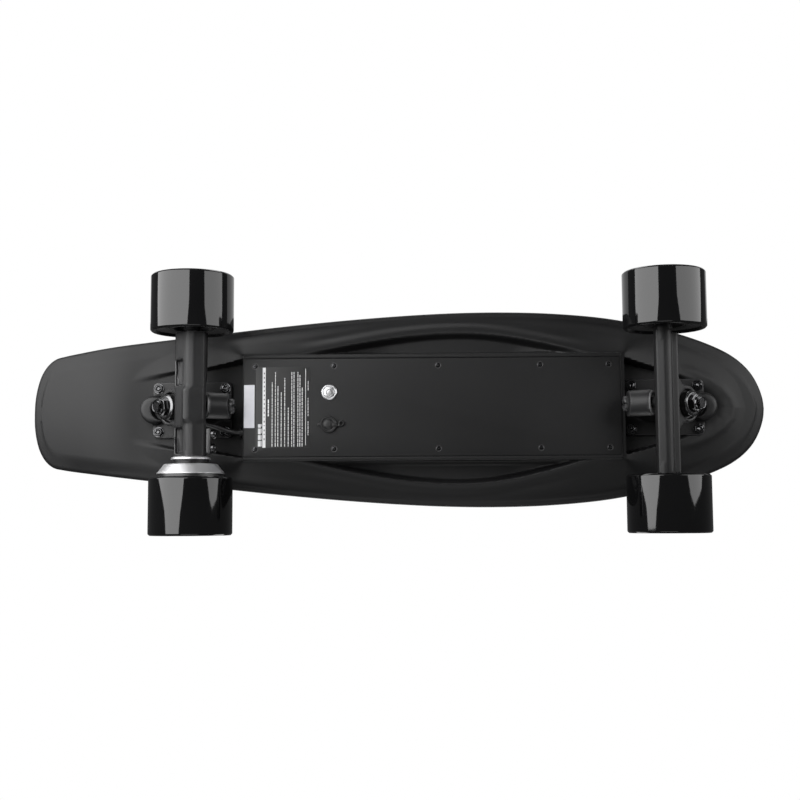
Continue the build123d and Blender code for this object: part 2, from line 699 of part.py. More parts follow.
def motor_cable():
    radii = cable_radii(CABLE_POINTS)
    print("motor cable radii", [round(r, 1) for r in radii])
    path = FilletPolyline(*CABLE_POINTS, radius=radii)
    start = Plane(origin=path @ 0, z_dir=path % 0)
    cable = sweep(start * Circle(CABLE_R), path=path)
    print("motor cable length", round(path.length, 1), "volume ratio",
          round(cable.volume / (3.14159265 * CABLE_R ** 2 * path.length), 4))
    return cable


def cable_grommet():
    plane = Plane(origin=(BOX_X0, CABLE_WALL[0], CABLE_WALL[1]), z_dir=(1, 0, 0))
    return (ring(plane, 0, 7.5, 4.0, CABLE_R + 0.02) + ring(plane, -1.0, 0, 5.6, CABLE_R + 0.02))


# ---- nodes ----------------------------------------------------------------------------------
save("deck_shell", deck_shell())
save("grip_tape", grip_tape())
save("mounting_bolts", mounting_bolts())
save("mounting_nuts", mounting_nuts())
save("battery_cover", battery_cover())
save("cover_screws", cover_screws())
save("battery_cells", battery_cells())
save("cell_holders", cell_holders())
save("controller_case", controller_case())
save("circuit_boards", Compound(children=[battery_board(), controller_board(), receiver_board()]))
save("power_button_housing", button_housing())
save("power_button_cap", button_cap())
save("charge_port", charge_port())
save("charge_port_cap", charge_port_cap())
save("charge_cap_anchor", charge_cap_anchor())
save("panel_nuts", panel_nuts())
save("labels", labels())
save("motor_cable", motor_cable())
save("cable_grommet", cable_grommet())

for place, name in ((front, "front"), (rear, "rear")):
    save(f"baseplate_{name}", place(baseplate()))
    save(f"bushing_boardside_{name}", place(bushing(-15.5, -2, 12.4, 11.5, 10.8)))
    save(f"bushing_roadside_{name}", place(bushing(2, 10.5, 11.8, 10.9, 11.0)))
save("pivot_cups", Compound(children=[front(pivot_cup()), rear(pivot_cup())]))
save("pivot_plugs", Compound(children=[front(pivot_plug()), rear(pivot_plug())]))
save("kingpins", Compound(children=[front(kingpin()), rear(kingpin())]))
save("kingpin_nuts", Compound(children=[place(hex_nut(KINGPIN_PLANE, 12, 19, 14.3, 5.02))
                                        for place in (front, rear)]))
save("bushing_washers", Compound(children=[place(piece) for place in (front, rear)
                                           for piece in bushing_washers()]))
save("hanger_front", front(hanger_front()))
save("hanger_rear", rear(hanger_rear()))
save("shaft_clamp", rear(shaft_clamp()))
save("clamp_screws", rear(clamp_screws()))

save("axle_front", crosswise(FRONT_AXLE_X, WHEEL_R, -114, 114, AXLE_R))
save("axle_rear", crosswise(REAR_AXLE_X, WHEEL_R, -114, -10, AXLE_R))
save("axle_spacers_front", Compound(children=axle_spacers(FRONT_AXLE_X, (-1, 1))))
save("axle_spacers_rear", Compound(children=axle_spacers(REAR_AXLE_X, (-1,))))
save("axle_nuts_front", Compound(children=[axle_nut(FRONT_AXLE_X, side, 105.5, 112, 13, 4.02)
                                           for side in (-1, 1)]))
save("axle_nuts_rear", Compound(children=[axle_nut(REAR_AXLE_X, -1, 105.5, 112, 13, 4.02),
                                          axle_nut(REAR_AXLE_X, 1, 112.1, 116, 18, 6.02)]))
for name, x, side in (("front_left", FRONT_AXLE_X, 1), ("front_right", FRONT_AXLE_X, -1),
                      ("rear_right", REAR_AXLE_X, -1)):
    save(f"tyre_{name}", tyre(x, side, 19.5))
    save(f"wheel_core_{name}", wheel_core(x, side))
    save(f"wheel_bearings_{name}", wheel_bearings(x, side))

save("tyre_rear_left", tyre(REAR_AXLE_X, 1, CAN_R))
save("rotor_can", rotor_can())
save("rotor_magnets", magnets())
save("motor_cover", motor_cover())
save("stator_core", stator_core())
save("stator_windings", stator_windings())
save("motor_bearings", motor_bearings())
save("motor_shaft", motor_shaft())
save("motor_collar", washer(REAR_AXLE_X, 1, 47.3, 50, 17.8, 6.02))
save("motor_seal", washer(REAR_AXLE_X, 1, 50, 53.7, 16.4, 6.02))
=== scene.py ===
from itertools import product
from math import cos, pi, radians, sin, sqrt, tan

import bmesh
import bpy
import numpy as np
from mathutils import Matrix, Vector


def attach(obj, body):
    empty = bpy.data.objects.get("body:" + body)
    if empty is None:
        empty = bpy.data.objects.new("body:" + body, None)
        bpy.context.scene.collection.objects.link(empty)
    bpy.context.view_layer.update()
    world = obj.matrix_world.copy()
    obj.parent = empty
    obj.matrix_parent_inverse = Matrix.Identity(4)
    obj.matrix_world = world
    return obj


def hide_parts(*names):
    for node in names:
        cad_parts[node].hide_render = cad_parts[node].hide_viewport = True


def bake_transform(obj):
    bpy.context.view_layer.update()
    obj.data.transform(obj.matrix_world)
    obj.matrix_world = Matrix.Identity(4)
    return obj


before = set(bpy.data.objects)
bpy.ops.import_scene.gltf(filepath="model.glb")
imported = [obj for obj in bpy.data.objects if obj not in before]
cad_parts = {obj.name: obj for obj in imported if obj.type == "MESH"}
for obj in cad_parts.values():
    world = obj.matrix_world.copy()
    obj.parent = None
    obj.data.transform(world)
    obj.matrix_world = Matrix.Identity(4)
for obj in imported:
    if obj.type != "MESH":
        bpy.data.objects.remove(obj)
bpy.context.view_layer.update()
MM = 0.001

# ---- dimensions shared with the CAD frame, in millimetres
TRUCK_FRONT_X, TRUCK_REAR_X = 255.7, -193.8
AXLE_OFFSET, WHEEL_R = -10.4, 37.5
FRONT_AXLE_X = TRUCK_FRONT_X + AXLE_OFFSET
REAR_AXLE_X = TRUCK_REAR_X - AXLE_OFFSET
WHEEL_IN, WHEEL_OUT = 65.8, 117.8
# a truck's own frame: its kingpin ring, the kingpin's line, the pivot cup and the pivot
RING = Vector((11.5, 0, 70.0))
KING = Vector((cos(radians(48)), 0, -sin(radians(48))))
CUP_AXIS = Vector((-cos(radians(30)), 0, sin(radians(30))))
CUP_RIM = Vector((-21.0, 0, 47.5))
PIVOT = CUP_RIM + 4.0 * CUP_AXIS
BAR_X, BAR_Z = -12.5, 38
BOLT_X, BOLT_Y = 31.75, 20.65
HEAD = {"front": Matrix.Translation((TRUCK_FRONT_X, 0, 0)),
        "rear": Matrix.Translation((TRUCK_REAR_X, 0, 0)) @ Matrix.Rotation(pi, 4, "Z")}
RIM_LOW, DECK_TOP, MOUNT_Z = 102.0, 112.98, 97.5  # DECK_TOP is a hair under the CAD deck's top
BELLY_X0, BELLY_X1, BELLY_Y = -144.0, 215.0, 50.0
COVER_Z = 76.5
SCREW_XS, SCREW_Y = [-131.0, -57.0, 40.5, 136.0, 200.0], 39.0
BUTTON_X, BUTTON_Y = -61.5, -14.2
PORT_X, PORT_Y = -62.0, 16.0
AXIS_R = 0.02  # the radius a turned profile keeps at its axis, so that no faces collapse


# ---- materials
def feed(made, key, value):
    """Links a socket into a node's input, or sets the input to a plain value."""
    if isinstance(value, bpy.types.NodeSocket):
        made.id_data.links.new(value, made.inputs[key])
    else:
        made.inputs[key].default_value = value


def node(tree, kind, **values):
    """A new shader node with its inputs fed by name; an underscore stands for a space."""
    made = tree.nodes.new("ShaderNode" + kind)
    for key, value in values.items():
        feed(made, key.replace("_", " "), value)
    return made


def new_material(name, **values):
    mat = bpy.data.materials.new(name)
    mat.use_nodes = True
    tree = mat.node_tree
    tree.nodes.clear()
    shader = node(tree, "BsdfPrincipled", **values)
    node(tree, "OutputMaterial", Surface=shader.outputs["BSDF"])
    return mat, tree, shader


def noise(tree, scale, detail=3.0, rough=0.55, stretch=(1, 1, 1)):
    """Noise in object space, in features per metre."""
    space = node(tree, "Mapping", Scale=stretch, Vector=node(tree, "TexCoord").outputs["Object"]).outputs["Vector"]
    return node(tree, "TexNoise", Scale=scale, Detail=detail, Roughness=rough, Vector=space).outputs["Fac"]


def colour(value):
    """A grey, a (red and green, blue) pair or a full colour, as a full colour."""
    return (value[0], *value)[-3:] if isinstance(value, tuple) else (value,) * 3


def ramp(tree, source, *stops):
    """A source run through colour stops."""
    made = node(tree, "ValToRGB", Fac=source)
    elements = made.color_ramp.elements
    elements[0].position, elements[1].position = stops[0][0], stops[-1][0]
    for pos, _ in stops[1:-1]:
        elements.new(pos)
    for element, (_, value) in zip(elements, stops):
        element.color = (*colour(value), 1)
    return made.outputs["Color"]


def add_bump(tree, shader, height, distance):
    feed(shader, "Normal", node(tree, "Bump", Strength=1.0, Distance=distance, Height=height).outputs["Normal"])


def coated(name, dark, light, rough, spread, grain, grain_depth, blotch, specular=0.5, metallic=0.0):
    """Plastic, paint or rubber: two close tones, a drifting roughness and a fine grain."""
    mat, tree, shader = new_material(name, Metallic=metallic, Specular_IOR_Level=specular)
    large = noise(tree, blotch, 4.0)
    feed(shader, "Base Color", ramp(tree, large, (0.3, dark), (0.7, light)))
    feed(shader, "Roughness", ramp(tree, large, (0.25, rough - spread), (0.75, rough + spread)))
    add_bump(tree, shader, noise(tree, grain, 2.0, 0.6), grain_depth)
    return mat


def metal(name, tone, rough, stretch, grain, depth=1e-5, dirt=0.8):
    """Bare metal with tool marks, drawn out along X and Z when Y is stretched."""
    mat, tree, shader = new_material(name, Metallic=1.0)
    marks = noise(tree, grain, 3.0, 0.6, (1, stretch, 1))
    dull = tuple(channel * dirt for channel in colour(tone))
    feed(shader, "Base Color", ramp(tree, noise(tree, 30.0), (0.35, dull), (0.65, tone)))
    feed(shader, "Roughness", ramp(tree, marks, (0.3, rough * 0.8), (0.7, rough * 1.25)))
    add_bump(tree, shader, marks, depth)
    return mat


def grip_material():
    """Abrasive grit: sharp sparkling grains in black resin."""
    mat, tree, shader = new_material("grip_grit")
    space = node(tree, "TexCoord").outputs["Object"]
    grains = node(tree, "TexVoronoi", Scale=1700, Vector=space).outputs["Distance"]
    feed(shader, "Base Color", ramp(tree, grains, (0.05, 0.13), (0.35, 0.034), (0.8, 0.014)))
    feed(shader, "Roughness", ramp(tree, noise(tree, 5.0, 5.0), (0.3, 0.62), (0.7, 0.8)))
    add_bump(tree, shader, node(tree, "Invert", Color=grains).outputs["Color"], 0.0003)
    return mat


def cast_paint():
    """Satin black paint over a casting, rubbed a little smoother along its edges, where a paler base colour is a
    painted highlight.
    """
    mat = coated("truck_paint", (0.006, 0.0063), (0.010, 0.0105), 0.46, 0.05, 500, 9e-5, 30, 0.35)
    tree = mat.node_tree
    shader = next(made for made in tree.nodes if made.type == "BSDF_PRINCIPLED")
    # convex edges by pointiness: smoother and more specular from rubbing, and a paler base colour there that paints
    # the ridges' highlight
    edge_wear_and_highlight = ramp(tree, node(tree, "NewGeometry").outputs["Pointiness"], (0.515, 0.0), (0.57, 1.0))
    for key, rubbed_gloss_and_highlight in (("Base Color", (0.06, 0.06, 0.061, 1)), ("Roughness", (0.27, 0.27, 0.27, 1))):
        mix = node(tree, "Mix")
        mix.data_type = "RGBA"
        # sockets of the colour mix: its factor, then its two colours
        for index, value in ((0, edge_wear_and_highlight), (6, shader.inputs[key].links[0].from_socket), (7, rubbed_gloss_and_highlight)):
            feed(mix, index, value)
        feed(shader, key, mix.outputs[2])
    feed(shader, "Specular IOR Level", node(tree, "MapRange", Value=edge_wear_and_highlight, To_Min=0.35, To_Max=0.9).outputs["Result"])
    return mat


# per material: its name, dark and light tones, roughness and spread, grain per metre and depth, blotches
# per metre, specular level, metallic
COATED = {
    "deck": ("deck_black", (0.005, 0.0053), (0.0065, 0.0068), 0.52, 0.03, 1500, 3e-5, 7, 0.3),
    "cover": ("cover_black", (0.004, 0.0043), (0.006, 0.0063), 0.5, 0.03, 2200, 3e-5, 6, 0.34),
    "steel_black": ("black_oxide", (0.016, 0.017), (0.035, 0.037), 0.34, 0.08, 900, 4e-5, 60, 0.5, 0.6),
    "urethane": ("wheel_urethane", (0.002, 0.0022), (0.003, 0.0032), 0.06, 0.015, 260, 8e-6, 14),
    "core": ("wheel_core_plastic", 0.010, 0.016, 0.32, 0.05, 700, 4e-5, 30),
    "rubber": ("black_rubber", (0.003, 0.0032), (0.006, 0.0062), 0.4, 0.06, 800, 3e-5, 50, 0.42),
    "bushing": ("bushing_urethane", 0.012, 0.018, 0.30, 0.06, 300, 3e-5, 40),
    "dark_plastic": ("dark_plastic", 0.012, 0.02, 0.42, 0.06, 1000, 4e-5, 40),
    "cell": ("cell_wrap", (0.02, 0.12, 0.3), (0.03, 0.16, 0.36), 0.28, 0.05, 300, 2e-5, 30),
    "board": ("solder_mask", (0.008, 0.07, 0.02), (0.015, 0.11, 0.035), 0.3, 0.06, 900, 3e-5, 120),
    "label_base": ("label_base", 0.009, 0.014, 0.42, 0.05, 700, 1e-5, 40, 0.4),
    "label_white": ("label_print", (0.58, 0.59), (0.72, 0.73), 0.45, 0.05, 900, 1e-5, 200),
    "sticker": ("silver_sticker", (0.62, 0.66), (0.72, 0.76), 0.35, 0.06, 500, 1e-5, 60),
    "sign_grey": ("sign_grey", (0.12, 0.122), (0.16, 0.162), 0.4, 0.05, 900, 1e-5, 80),
    "plug_grey": ("plug_plastic", (0.03, 0.031), (0.05, 0.051), 0.34, 0.06, 700, 3e-5, 60),
    "lip": ("cup_polymer", (0.17, 0.173), (0.22, 0.223), 0.18, 0.04, 500, 1e-5, 60),
    "lead": ("cable_jacket", (0.02, 0.021), (0.035, 0.036), 0.42, 0.06, 900, 4e-5, 80),
}
# per material: its name, tone, roughness, stretch, grain per metre and depth, how much dirt dulls it
METALS = {
    "copper": ("copper_wire", (0.65, 0.26, 0.1), 0.3, 1, 1500, 6e-5),
    "steel": ("bare_steel", (0.55, 0.56), 0.28, 12, 500),
    "magnet": ("magnet_nickel", (0.6, 0.58, 0.55), 0.2, 1, 300),
    "silver": ("turned_aluminium", (0.74, 0.75), 0.42, 30, 700, 8e-6, 0.93),
    "sink": ("heat_sink_aluminium", (0.7, 0.71), 0.35, 8, 500),
    "chrome": ("button_chrome", (0.62, 0.63), 0.33, 1, 300, 4e-6, 0.95),
    "screw_dark": ("oxide_screw", (0.045, 0.047), 0.22, 1, 900, 2e-5, 0.6),
    "steel_screw": ("screw_steel", (0.11, 0.113), 0.18, 1, 900, 2e-5, 0.5),
    "washer_steel": ("washer_steel", (0.16, 0.163), 0.2, 1, 700, 2e-5, 0.6),
}
MATS = {"grip": grip_material(), "truck": cast_paint(), **{key: coated(*row) for key, row in COATED.items()},
        **{key: metal(*row) for key, row in METALS.items()}}

# how the names of each material's CAD nodes start; the first match counts, and the rest are bare steel
NODE_MATS = {
    "deck": "deck_shell", "cover": "battery_cover", "grip": "grip_tape", "chrome": "power_button_cap",
    "steel_black": "cover_screws mounting_ clamp_screws kingpin",
    "cell": "battery_cells", "board": "circuit_boards", "sink": "controller_case", "label_base": "labels",
    "rubber": "charge_port_cap charge_cap_anchor cable_grommet pivot_cups motor_cable motor_seal",
    "dark_plastic": "cell_holders power_button_housing charge_port pivot_plugs",
    "truck": "baseplate hanger shaft_clamp", "bushing": "bushing_boardside bushing_roadside",
    "urethane": "tyre", "core": "wheel_core", "silver": "motor_cover motor_collar rotor_can",
    "copper": "stator_windings", "magnet": "rotor_magnets", "steel": "",
}
for node_name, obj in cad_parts.items():
    key = next(key for key, starts in NODE_MATS.items() if node_name.startswith(tuple(starts.split() or [""])))
    obj.data.materials.clear()
    obj.data.materials.append(MATS[key])


# ---- mesh helpers
def add_object(name, data):
    obj = bpy.data.objects.new(name, data)
    bpy.context.scene.collection.objects.link(obj)
    return obj


def shade(data, smooth=True):
    for polygon in data.polygons:
        polygon.use_smooth = smooth


def piece(name, verts, faces, mat, body, replaces=None, sharp=None, smooth=True):
    """A mesh given in millimetres, riding on a CAD body."""
    data = bpy.data.meshes.new(name)
    data.from_pydata([tuple(float(c) * MM for c in v) for v in verts], [], faces)
    bm = bmesh.new()
    bm.from_mesh(data)
    bmesh.ops.recalc_face_normals(bm, faces=bm.faces)
    bm.to_mesh(data)
    bm.free()
    obj = add_object(name, data)
    shade(data, smooth)
    if sharp is not None:
        data.set_sharp_from_angle(angle=radians(sharp))
    data.materials.append(MATS[mat])
    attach(obj, body)
    if replaces:
        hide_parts(replaces)
    return obj


class Shape:
    """Collects closed parts in millimetres, then becomes one piece."""

    def __init__(self):
        self.verts = []
        self.faces = []

    def add(self, verts, faces, place=None):
        base = len(self.verts)
        self.verts += [place @ Vector(v) if place else Vector(v) for v in verts]
        self.faces += [[base + i for i in face] for face in faces]
        return self

    def skin(self, rings, place=None, ends="flat"):
        """Quads from ring to ring; its ends are flat, open, or joined to each other."""
        count, last = len(rings[0]), len(rings) - 1
        steps = [(r, r + 1) for r in range(last)] + ([(last, 0)] if ends == "joined" else [])
        faces = []
        for r, s in steps:
            for i in range(count):
                j = (i + 1) % count
                faces.append([r * count + i, r * count + j, s * count + j, s * count + i])
        if ends == "flat":
            faces = [list(range(count))[::-1]] + faces + [[last * count + i for i in range(count)]]
        return self.add([v for ring in rings for v in ring], faces, place)

    def lathe(self, profile, place=None, steps=64):
        """A closed profile of (along, radius) turned about local Z."""
        angles = [2 * pi * k / steps for k in range(steps)]
        return self.skin([[(r * cos(a), r * sin(a), z) for z, r in profile] for a in angles], place, "joined")

    def solid(self, profile, place, steps=48):
        """A turned solid: its profile is led to the axis at both ends."""
        return self.lathe([(profile[0][0], AXIS_R), *profile, (profile[-1][0], AXIS_R)], place, steps)

    def prism(self, outline, z0, z1, place=None, edge=0.0, steps=3):
        """An outline raised between two heights, its rims rounded by edge."""
        low = [(edge - edge * cos(pi / 2 * k / steps), z0 + edge - edge * sin(pi / 2 * k / steps))
               for k in range(steps, -1, -1)]
        high = [(inset, z1 - (z - z0)) for inset, z in reversed(low)]
        return self.skin([[(x, y, z) for x, y in shrink(outline, inset)] for inset, z in low + high], place)

    def done(self, name, mat, body, replaces=None, slot=None, sharp=35, smooth=True):
        return piece(name, self.verts, self.faces, mat, body, replaces, sharp, smooth)


def shrink(outline, inset):
    """A convex-ish outline moved in by a small inset along its corner bisectors."""
    if inset <= 0:
        return outline
    corners = list(zip(outline[-1:] + outline[:-1], outline, outline[1:] + outline[:1]))
    area = sum(here[0] * after[1] - after[0] * here[1] for _, here, after in corners)
    way = 1 if area > 0 else -1
    result = []
    for (x0, y0), (x1, y1), (x2, y2) in corners:
        a = Vector((x1 - x0, y1 - y0)).normalized()
        b = Vector((x2 - x1, y2 - y1)).normalized()
        na, nb = Vector((-a.y, a.x)) * way, Vector((-b.y, b.x)) * way
        bis = na + nb
        bis = bis.normalized() if bis.length > 1e-6 else na
        reach = inset / max(0.35, bis.dot(na))
        result.append((x1 + bis.x * reach, y1 + bis.y * reach))
    return result


def rounded_rect(x0, x1, y0, y1, radius, steps=6):
    points = []
    for cx, cy, start in ((x1 - radius, y1 - radius, 0), (x0 + radius, y1 - radius, 90),
            (x0 + radius, y0 + radius, 180), (x1 - radius, y0 + radius, 270)):
        for k in range(steps + 1):
            angle = radians(start + 90 * k / steps)
            points.append((cx + radius * cos(angle), cy + radius * sin(angle)))
    return points


def circle(cx, cy, radius, steps=48):
    return [(cx + radius * cos(2 * pi * k / steps), cy + radius * sin(2 * pi * k / steps)) for k in range(steps)]


def rounded(corners, radii, steps=4):
    """A polygon with each corner rounded by its own radius, or all by one."""
    count = len(corners)
    points = []
    for i in range(count):
        p0, p1, p2 = (Vector(corners[i - 1]), Vector(corners[i]), Vector(corners[(i + 1) % count]))
        r = radii[i] if isinstance(radii, list) else radii
        a, b = (p0 - p1).normalized(), (p2 - p1).normalized()
        half = a.angle(b) / 2
        if r <= 0 or half > pi / 2 - 0.02:
            points.append(tuple(p1))
            continue
        cut = min(r / tan(half), 0.49 * min((p0 - p1).length, (p2 - p1).length))
        r = cut * tan(half)
        centre = p1 + (a + b).normalized() * (r / sin(half))
        u, v = p1 + a * cut - centre, p1 + b * cut - centre
        turn = u.angle(v)
        sign = 1 if u.x * v.y - u.y * v.x > 0 else -1
        for k in range(steps + 1):
            c, s = cos(sign * turn * k / steps), sin(sign * turn * k / steps)
            points.append((centre.x + u.x * c - u.y * s, centre.y + u.x * s + u.y * c))
    return points


def hexagon(half_flats, turn=0.0, radius=0.3):
    reach = half_flats / cos(pi / 6)
    return rounded([(reach * cos(k * pi / 3 + turn), reach * sin(k * pi / 3 + turn)) for k in range(6)], radius, 3)


def thread(start, pitch, turns, root, crest):
    """The profile of a screw thread as plain rings."""
    spots = [start + pitch * k for k in range(turns)]
    return [point for z in spots for point in ((z, root), (z + pitch / 2, crest))]


def place_along(origin, direction, x_hint=None):
    """A matrix whose local Z runs along direction, in millimetres."""
    z = Vector(direction).normalized()
    x = Vector(x_hint or ((1, 0, 0) if abs(z.y) > 0.9 else (0, 1, 0)))
    x = (x - z * x.dot(z)).normalized()
    m = Matrix((x, z.cross(x), z)).transposed().to_4x4()
    m.translation = Vector(origin)
    return m


def crosswise(x, z, side):
    """A place whose local Z runs out to one side of the board."""
    return place_along((x, 0, z), (0, side, 0))


def turned(name, mat, body, replaces, slot, place, corners, radii, steps=3, around=96, sharp=40):
    """One turned piece, the corners of its profile rounded."""
    return Shape().lathe(rounded(corners, radii, steps), place, around).done(name, mat, body, replaces, slot, sharp)


def remesh(obj, voxel):
    skin = obj.modifiers.new("skin", "REMESH")
    skin.mode = "VOXEL"
    skin.voxel_size = voxel * MM


def subtract(obj, tool):
    bore = obj.modifiers.new("bore", "BOOLEAN")
    bore.operation = "DIFFERENCE"
    bore.solver = "EXACT"
    bore.object = tool


def evaluated_mesh(obj):
    depsgraph = bpy.context.evaluated_depsgraph_get()
    depsgraph.update()
    return bpy.data.meshes.new_from_object(obj.evaluated_get(depsgraph))


def bake(obj, tool=None):
    """Turns an object's modifiers into its mesh and drops the tool that cut it."""
    data = evaluated_mesh(obj)
    data.name = obj.name
    spare = [obj.data]
    obj.modifiers.clear()
    obj.data = data
    if tool:
        spare.append(tool.data)
        bpy.data.objects.remove(tool)
    for mesh in spare:
        bpy.data.meshes.remove(mesh)
    return data


# ---- deck
def smooth_curve(points, count):
    """Catmull-Rom (centripetal) through the points, sampled evenly in its parameter."""
    pts = [Vector(p) for p in points]
    pts = [2 * pts[0] - pts[1]] + pts + [2 * pts[-1] - pts[-2]]
    knots = [0.0]
    for a, b in zip(pts, pts[1:]):
        knots.append(knots[-1] + (b - a).length ** 0.5)
    result = []
    for k in range(count + 1):
        t = knots[1] + (knots[-2] - knots[1]) * k / count
        i = 1
        while i < len(pts) - 3 and t > knots[i + 1]:
            i += 1
        level, span = pts[i - 1:i + 3], knots[i - 1:i + 3]
        for starts, ends in (((0, 1, 2), (1, 2, 3)), ((0, 1), (2, 3)), ((1,), (2,))):
            level = [a * ((span[e] - t) / (span[e] - span[s])) + b * ((t - span[s]) / (span[e] - span[s]))
                    for a, b, s, e in zip(level, level[1:], starts, ends)]
        result.append(level[0])
    return result


def half_outline():
    """The left half of the deck's edge, from the tail's tip to the nose's tip."""
    tail = [(-354.4, 0), (-354.0, 12), (-352.0, 25), (-348.0, 37.5), (-341.6, 47.2), (-333.5, 53.2)]
    side = [(-322, 55.9), (-290, 60.4), (-242, 66.4), (-176, 73.8), (-111, 81), (-50, 86.8), (4, 90.8), (50, 93.1),
            (95, 93.8), (145, 92.5), (196, 88.1), (232, 82), (262, 75), (287, 67.6)]
    nose = [(308, 59.8), (322, 53.0), (334, 44.6), (344, 34), (351, 21.5), (355, 9), (356, 0)]
    return smooth_curve(tail + side + nose, 420)


def deck_lift(x):
    """How far the deck's mid line rises above its flat middle."""
    tail_in, bend, turn = -252.0, 150.0, radians(20)
    nose_in, nose_bend = BELLY_X1, 650.0
    reach = bend * sin(turn)
    run = np.clip(tail_in - x, 0, reach)
    arc = bend - np.sqrt(bend ** 2 - run ** 2)
    tail = arc + np.clip(tail_in - reach - x, 0, None) * tan(turn)
    nose = nose_bend - np.sqrt(nose_bend ** 2 - np.clip(x - nose_in, 0, None) ** 2)
    return tail + nose


def smoothstep(t):
    t = np.clip(t, 0, 1)
    return t * t * (3 - 2 * t)


def bell(distance, width):
    return np.exp(-(distance / width) ** 2)


def segment_distance(px, py, points):
    """Distance from each point to an open polyline."""
    best = np.full(px.shape, 1e9)
    for (x0, y0), (x1, y1) in zip(points, points[1:]):
        dx, dy = x1 - x0, y1 - y0
        t = np.clip(((px - x0) * dx + (py - y0) * dy) / (dx * dx + dy * dy), 0, 1)
        best = np.minimum(best, np.hypot(px - x0 - t * dx, py - y0 - t * dy))
    return best


def inside(px, py, points):
    result = np.zeros(px.shape, dtype=bool)
    for (x0, y0), (x1, y1) in zip(points, points[1:] + points[:1]):
        if y1 != y0:
            result ^= ((y0 > py) != (y1 > py)) & (px < (x1 - x0) * (py - y0) / (y1 - y0) + x0)
    return result


BELLY_SIDE = [(-262, 0), (-256, 24), (-238, 44), (-195, 62), (-144, 72), (-60, 82), (30, 88.5), (80, 89.5),
        (150, 87), (215, 79), (270, 63), (306, 45), (328, 25), (336, 0)]
BELLY_LOOP = [tuple(p) for p in smooth_curve(BELLY_SIDE, 60)]
SCOOP_X = (-98.0, 187.0)


def scoop_edge(x):
    """Half width of the side scoop's outer edge."""
    t = np.clip((x - SCOOP_X[0]) / (SCOOP_X[1] - SCOOP_X[0]), 0, 1)
    peak = 0.56
    rise = np.where(t < peak, t / peak, (1 - t) / (1 - peak))
    return 50.5 + 21.5 * np.sin(rise * pi / 2) ** 1.25


def both_ends(x, margin, rear, front):
    """1 along the side scoop, fading out over each end's own length."""
    return smoothstep((x - SCOOP_X[0] + margin[0]) / rear) * smoothstep((SCOOP_X[1] + margin[1] - x) / front)


def drop_below_rim(x, y):
    """How far the underside hangs below the rim, before the truck pockets."""
    ay = np.abs(y)
    to_outer = segment_distance(x, ay, BELLY_LOOP)
    to_box = np.hypot(np.maximum(np.maximum(BELLY_X0 - x, x - BELLY_X1), 0), np.maximum(ay - BELLY_Y, 0))
    fall = np.where(inside(x, ay, BELLY_LOOP), 1 - to_box / (to_box + to_outer + 1e-6), 0)
    drop = 25.0 * (0.86 * fall ** 1.12 + 0.14 * smoothstep(fall))
    past_edge = ay - scoop_edge(x)
    scoop = smoothstep(0.12 - past_edge / 6.2) * both_ends(x, (20, 16), 115, 95)
    floor = 3.0 + 3.5 * smoothstep((54.5 - ay) / 5.0)
    drop = drop * (1 - scoop) + np.minimum(floor, drop) * scoop
    # a ridge along the scoop's outer edge, then a groove that is shallower on the left
    groove = np.where(y < 0, 0.9, 0.9 * 0.35) * bell(past_edge - 11.5, 3.2)
    return drop + (0.9 * bell(past_edge - 4.5, 3.8) - groove) * both_ends(x, (6, 6), 50, 50)


def pocket_depth(x, y):
    """0 outside the truck pockets and 1 on their floors."""
    rear = [(-144.0, 46.6), (-178, 40.6), (-212, 37.8), (-245, 34.0), (-275, 30.5), (-300, 28)]
    front = [(215.0, 45.8), (247, 37.6), (277, 30.0), (292, 27.0), (304, 21.5), (314, 13.5), (320, 0)]
    result = np.zeros(x.shape)
    # the pockets' walls lean more and more toward the board's ends
    for points, wall in ((rear, 2.3 + 5.0 * smoothstep((-200 - x) / 45)),
            (front, 2.3 + 17.3 * smoothstep((x - 255) / 45))):
        ring = points + [(px, -py) for px, py in reversed(points)]
        depth = smoothstep(segment_distance(x, np.abs(y), points) / wall)
        result = np.maximum(result, np.where(inside(x, y, ring), depth, 0))
    return result


def nose_ridge(x, y):
    """The soft raised band that runs round the nose end of the front pocket."""
    dist = segment_distance(x, np.abs(y), [(262, 39.5), (284, 34.5), (300, 27.5), (312, 19.5), (321, 9), (324, 0)])
    return 1.1 * bell(dist, 4.2) * smoothstep((x - 262) / 26)


def underside(x, y, edge_distance):
    drop = drop_below_rim(x, y) * (1 - pocket_depth(x, y)) + nose_ridge(x, y)
    crown = 4.2 * smoothstep((-225 - x) / 60) + 2.2 * smoothstep((x - 270) / 50)
    drop = drop + crown * np.clip(1 - (y / 58.0) ** 2, 0, 1)
    lip = (2.6 - 1.3 * smoothstep((-305 - x) / 25)) * (1 - smoothstep(edge_distance / 17.0))
    return RIM_LOW + deck_lift(x) - drop + lip


def rim_curl(radius, inset):
    """How far a rim rounded by a radius falls back at an inset from its edge."""
    return radius - sqrt(max(0.0, radius ** 2 - max(0.0, radius - inset) ** 2))


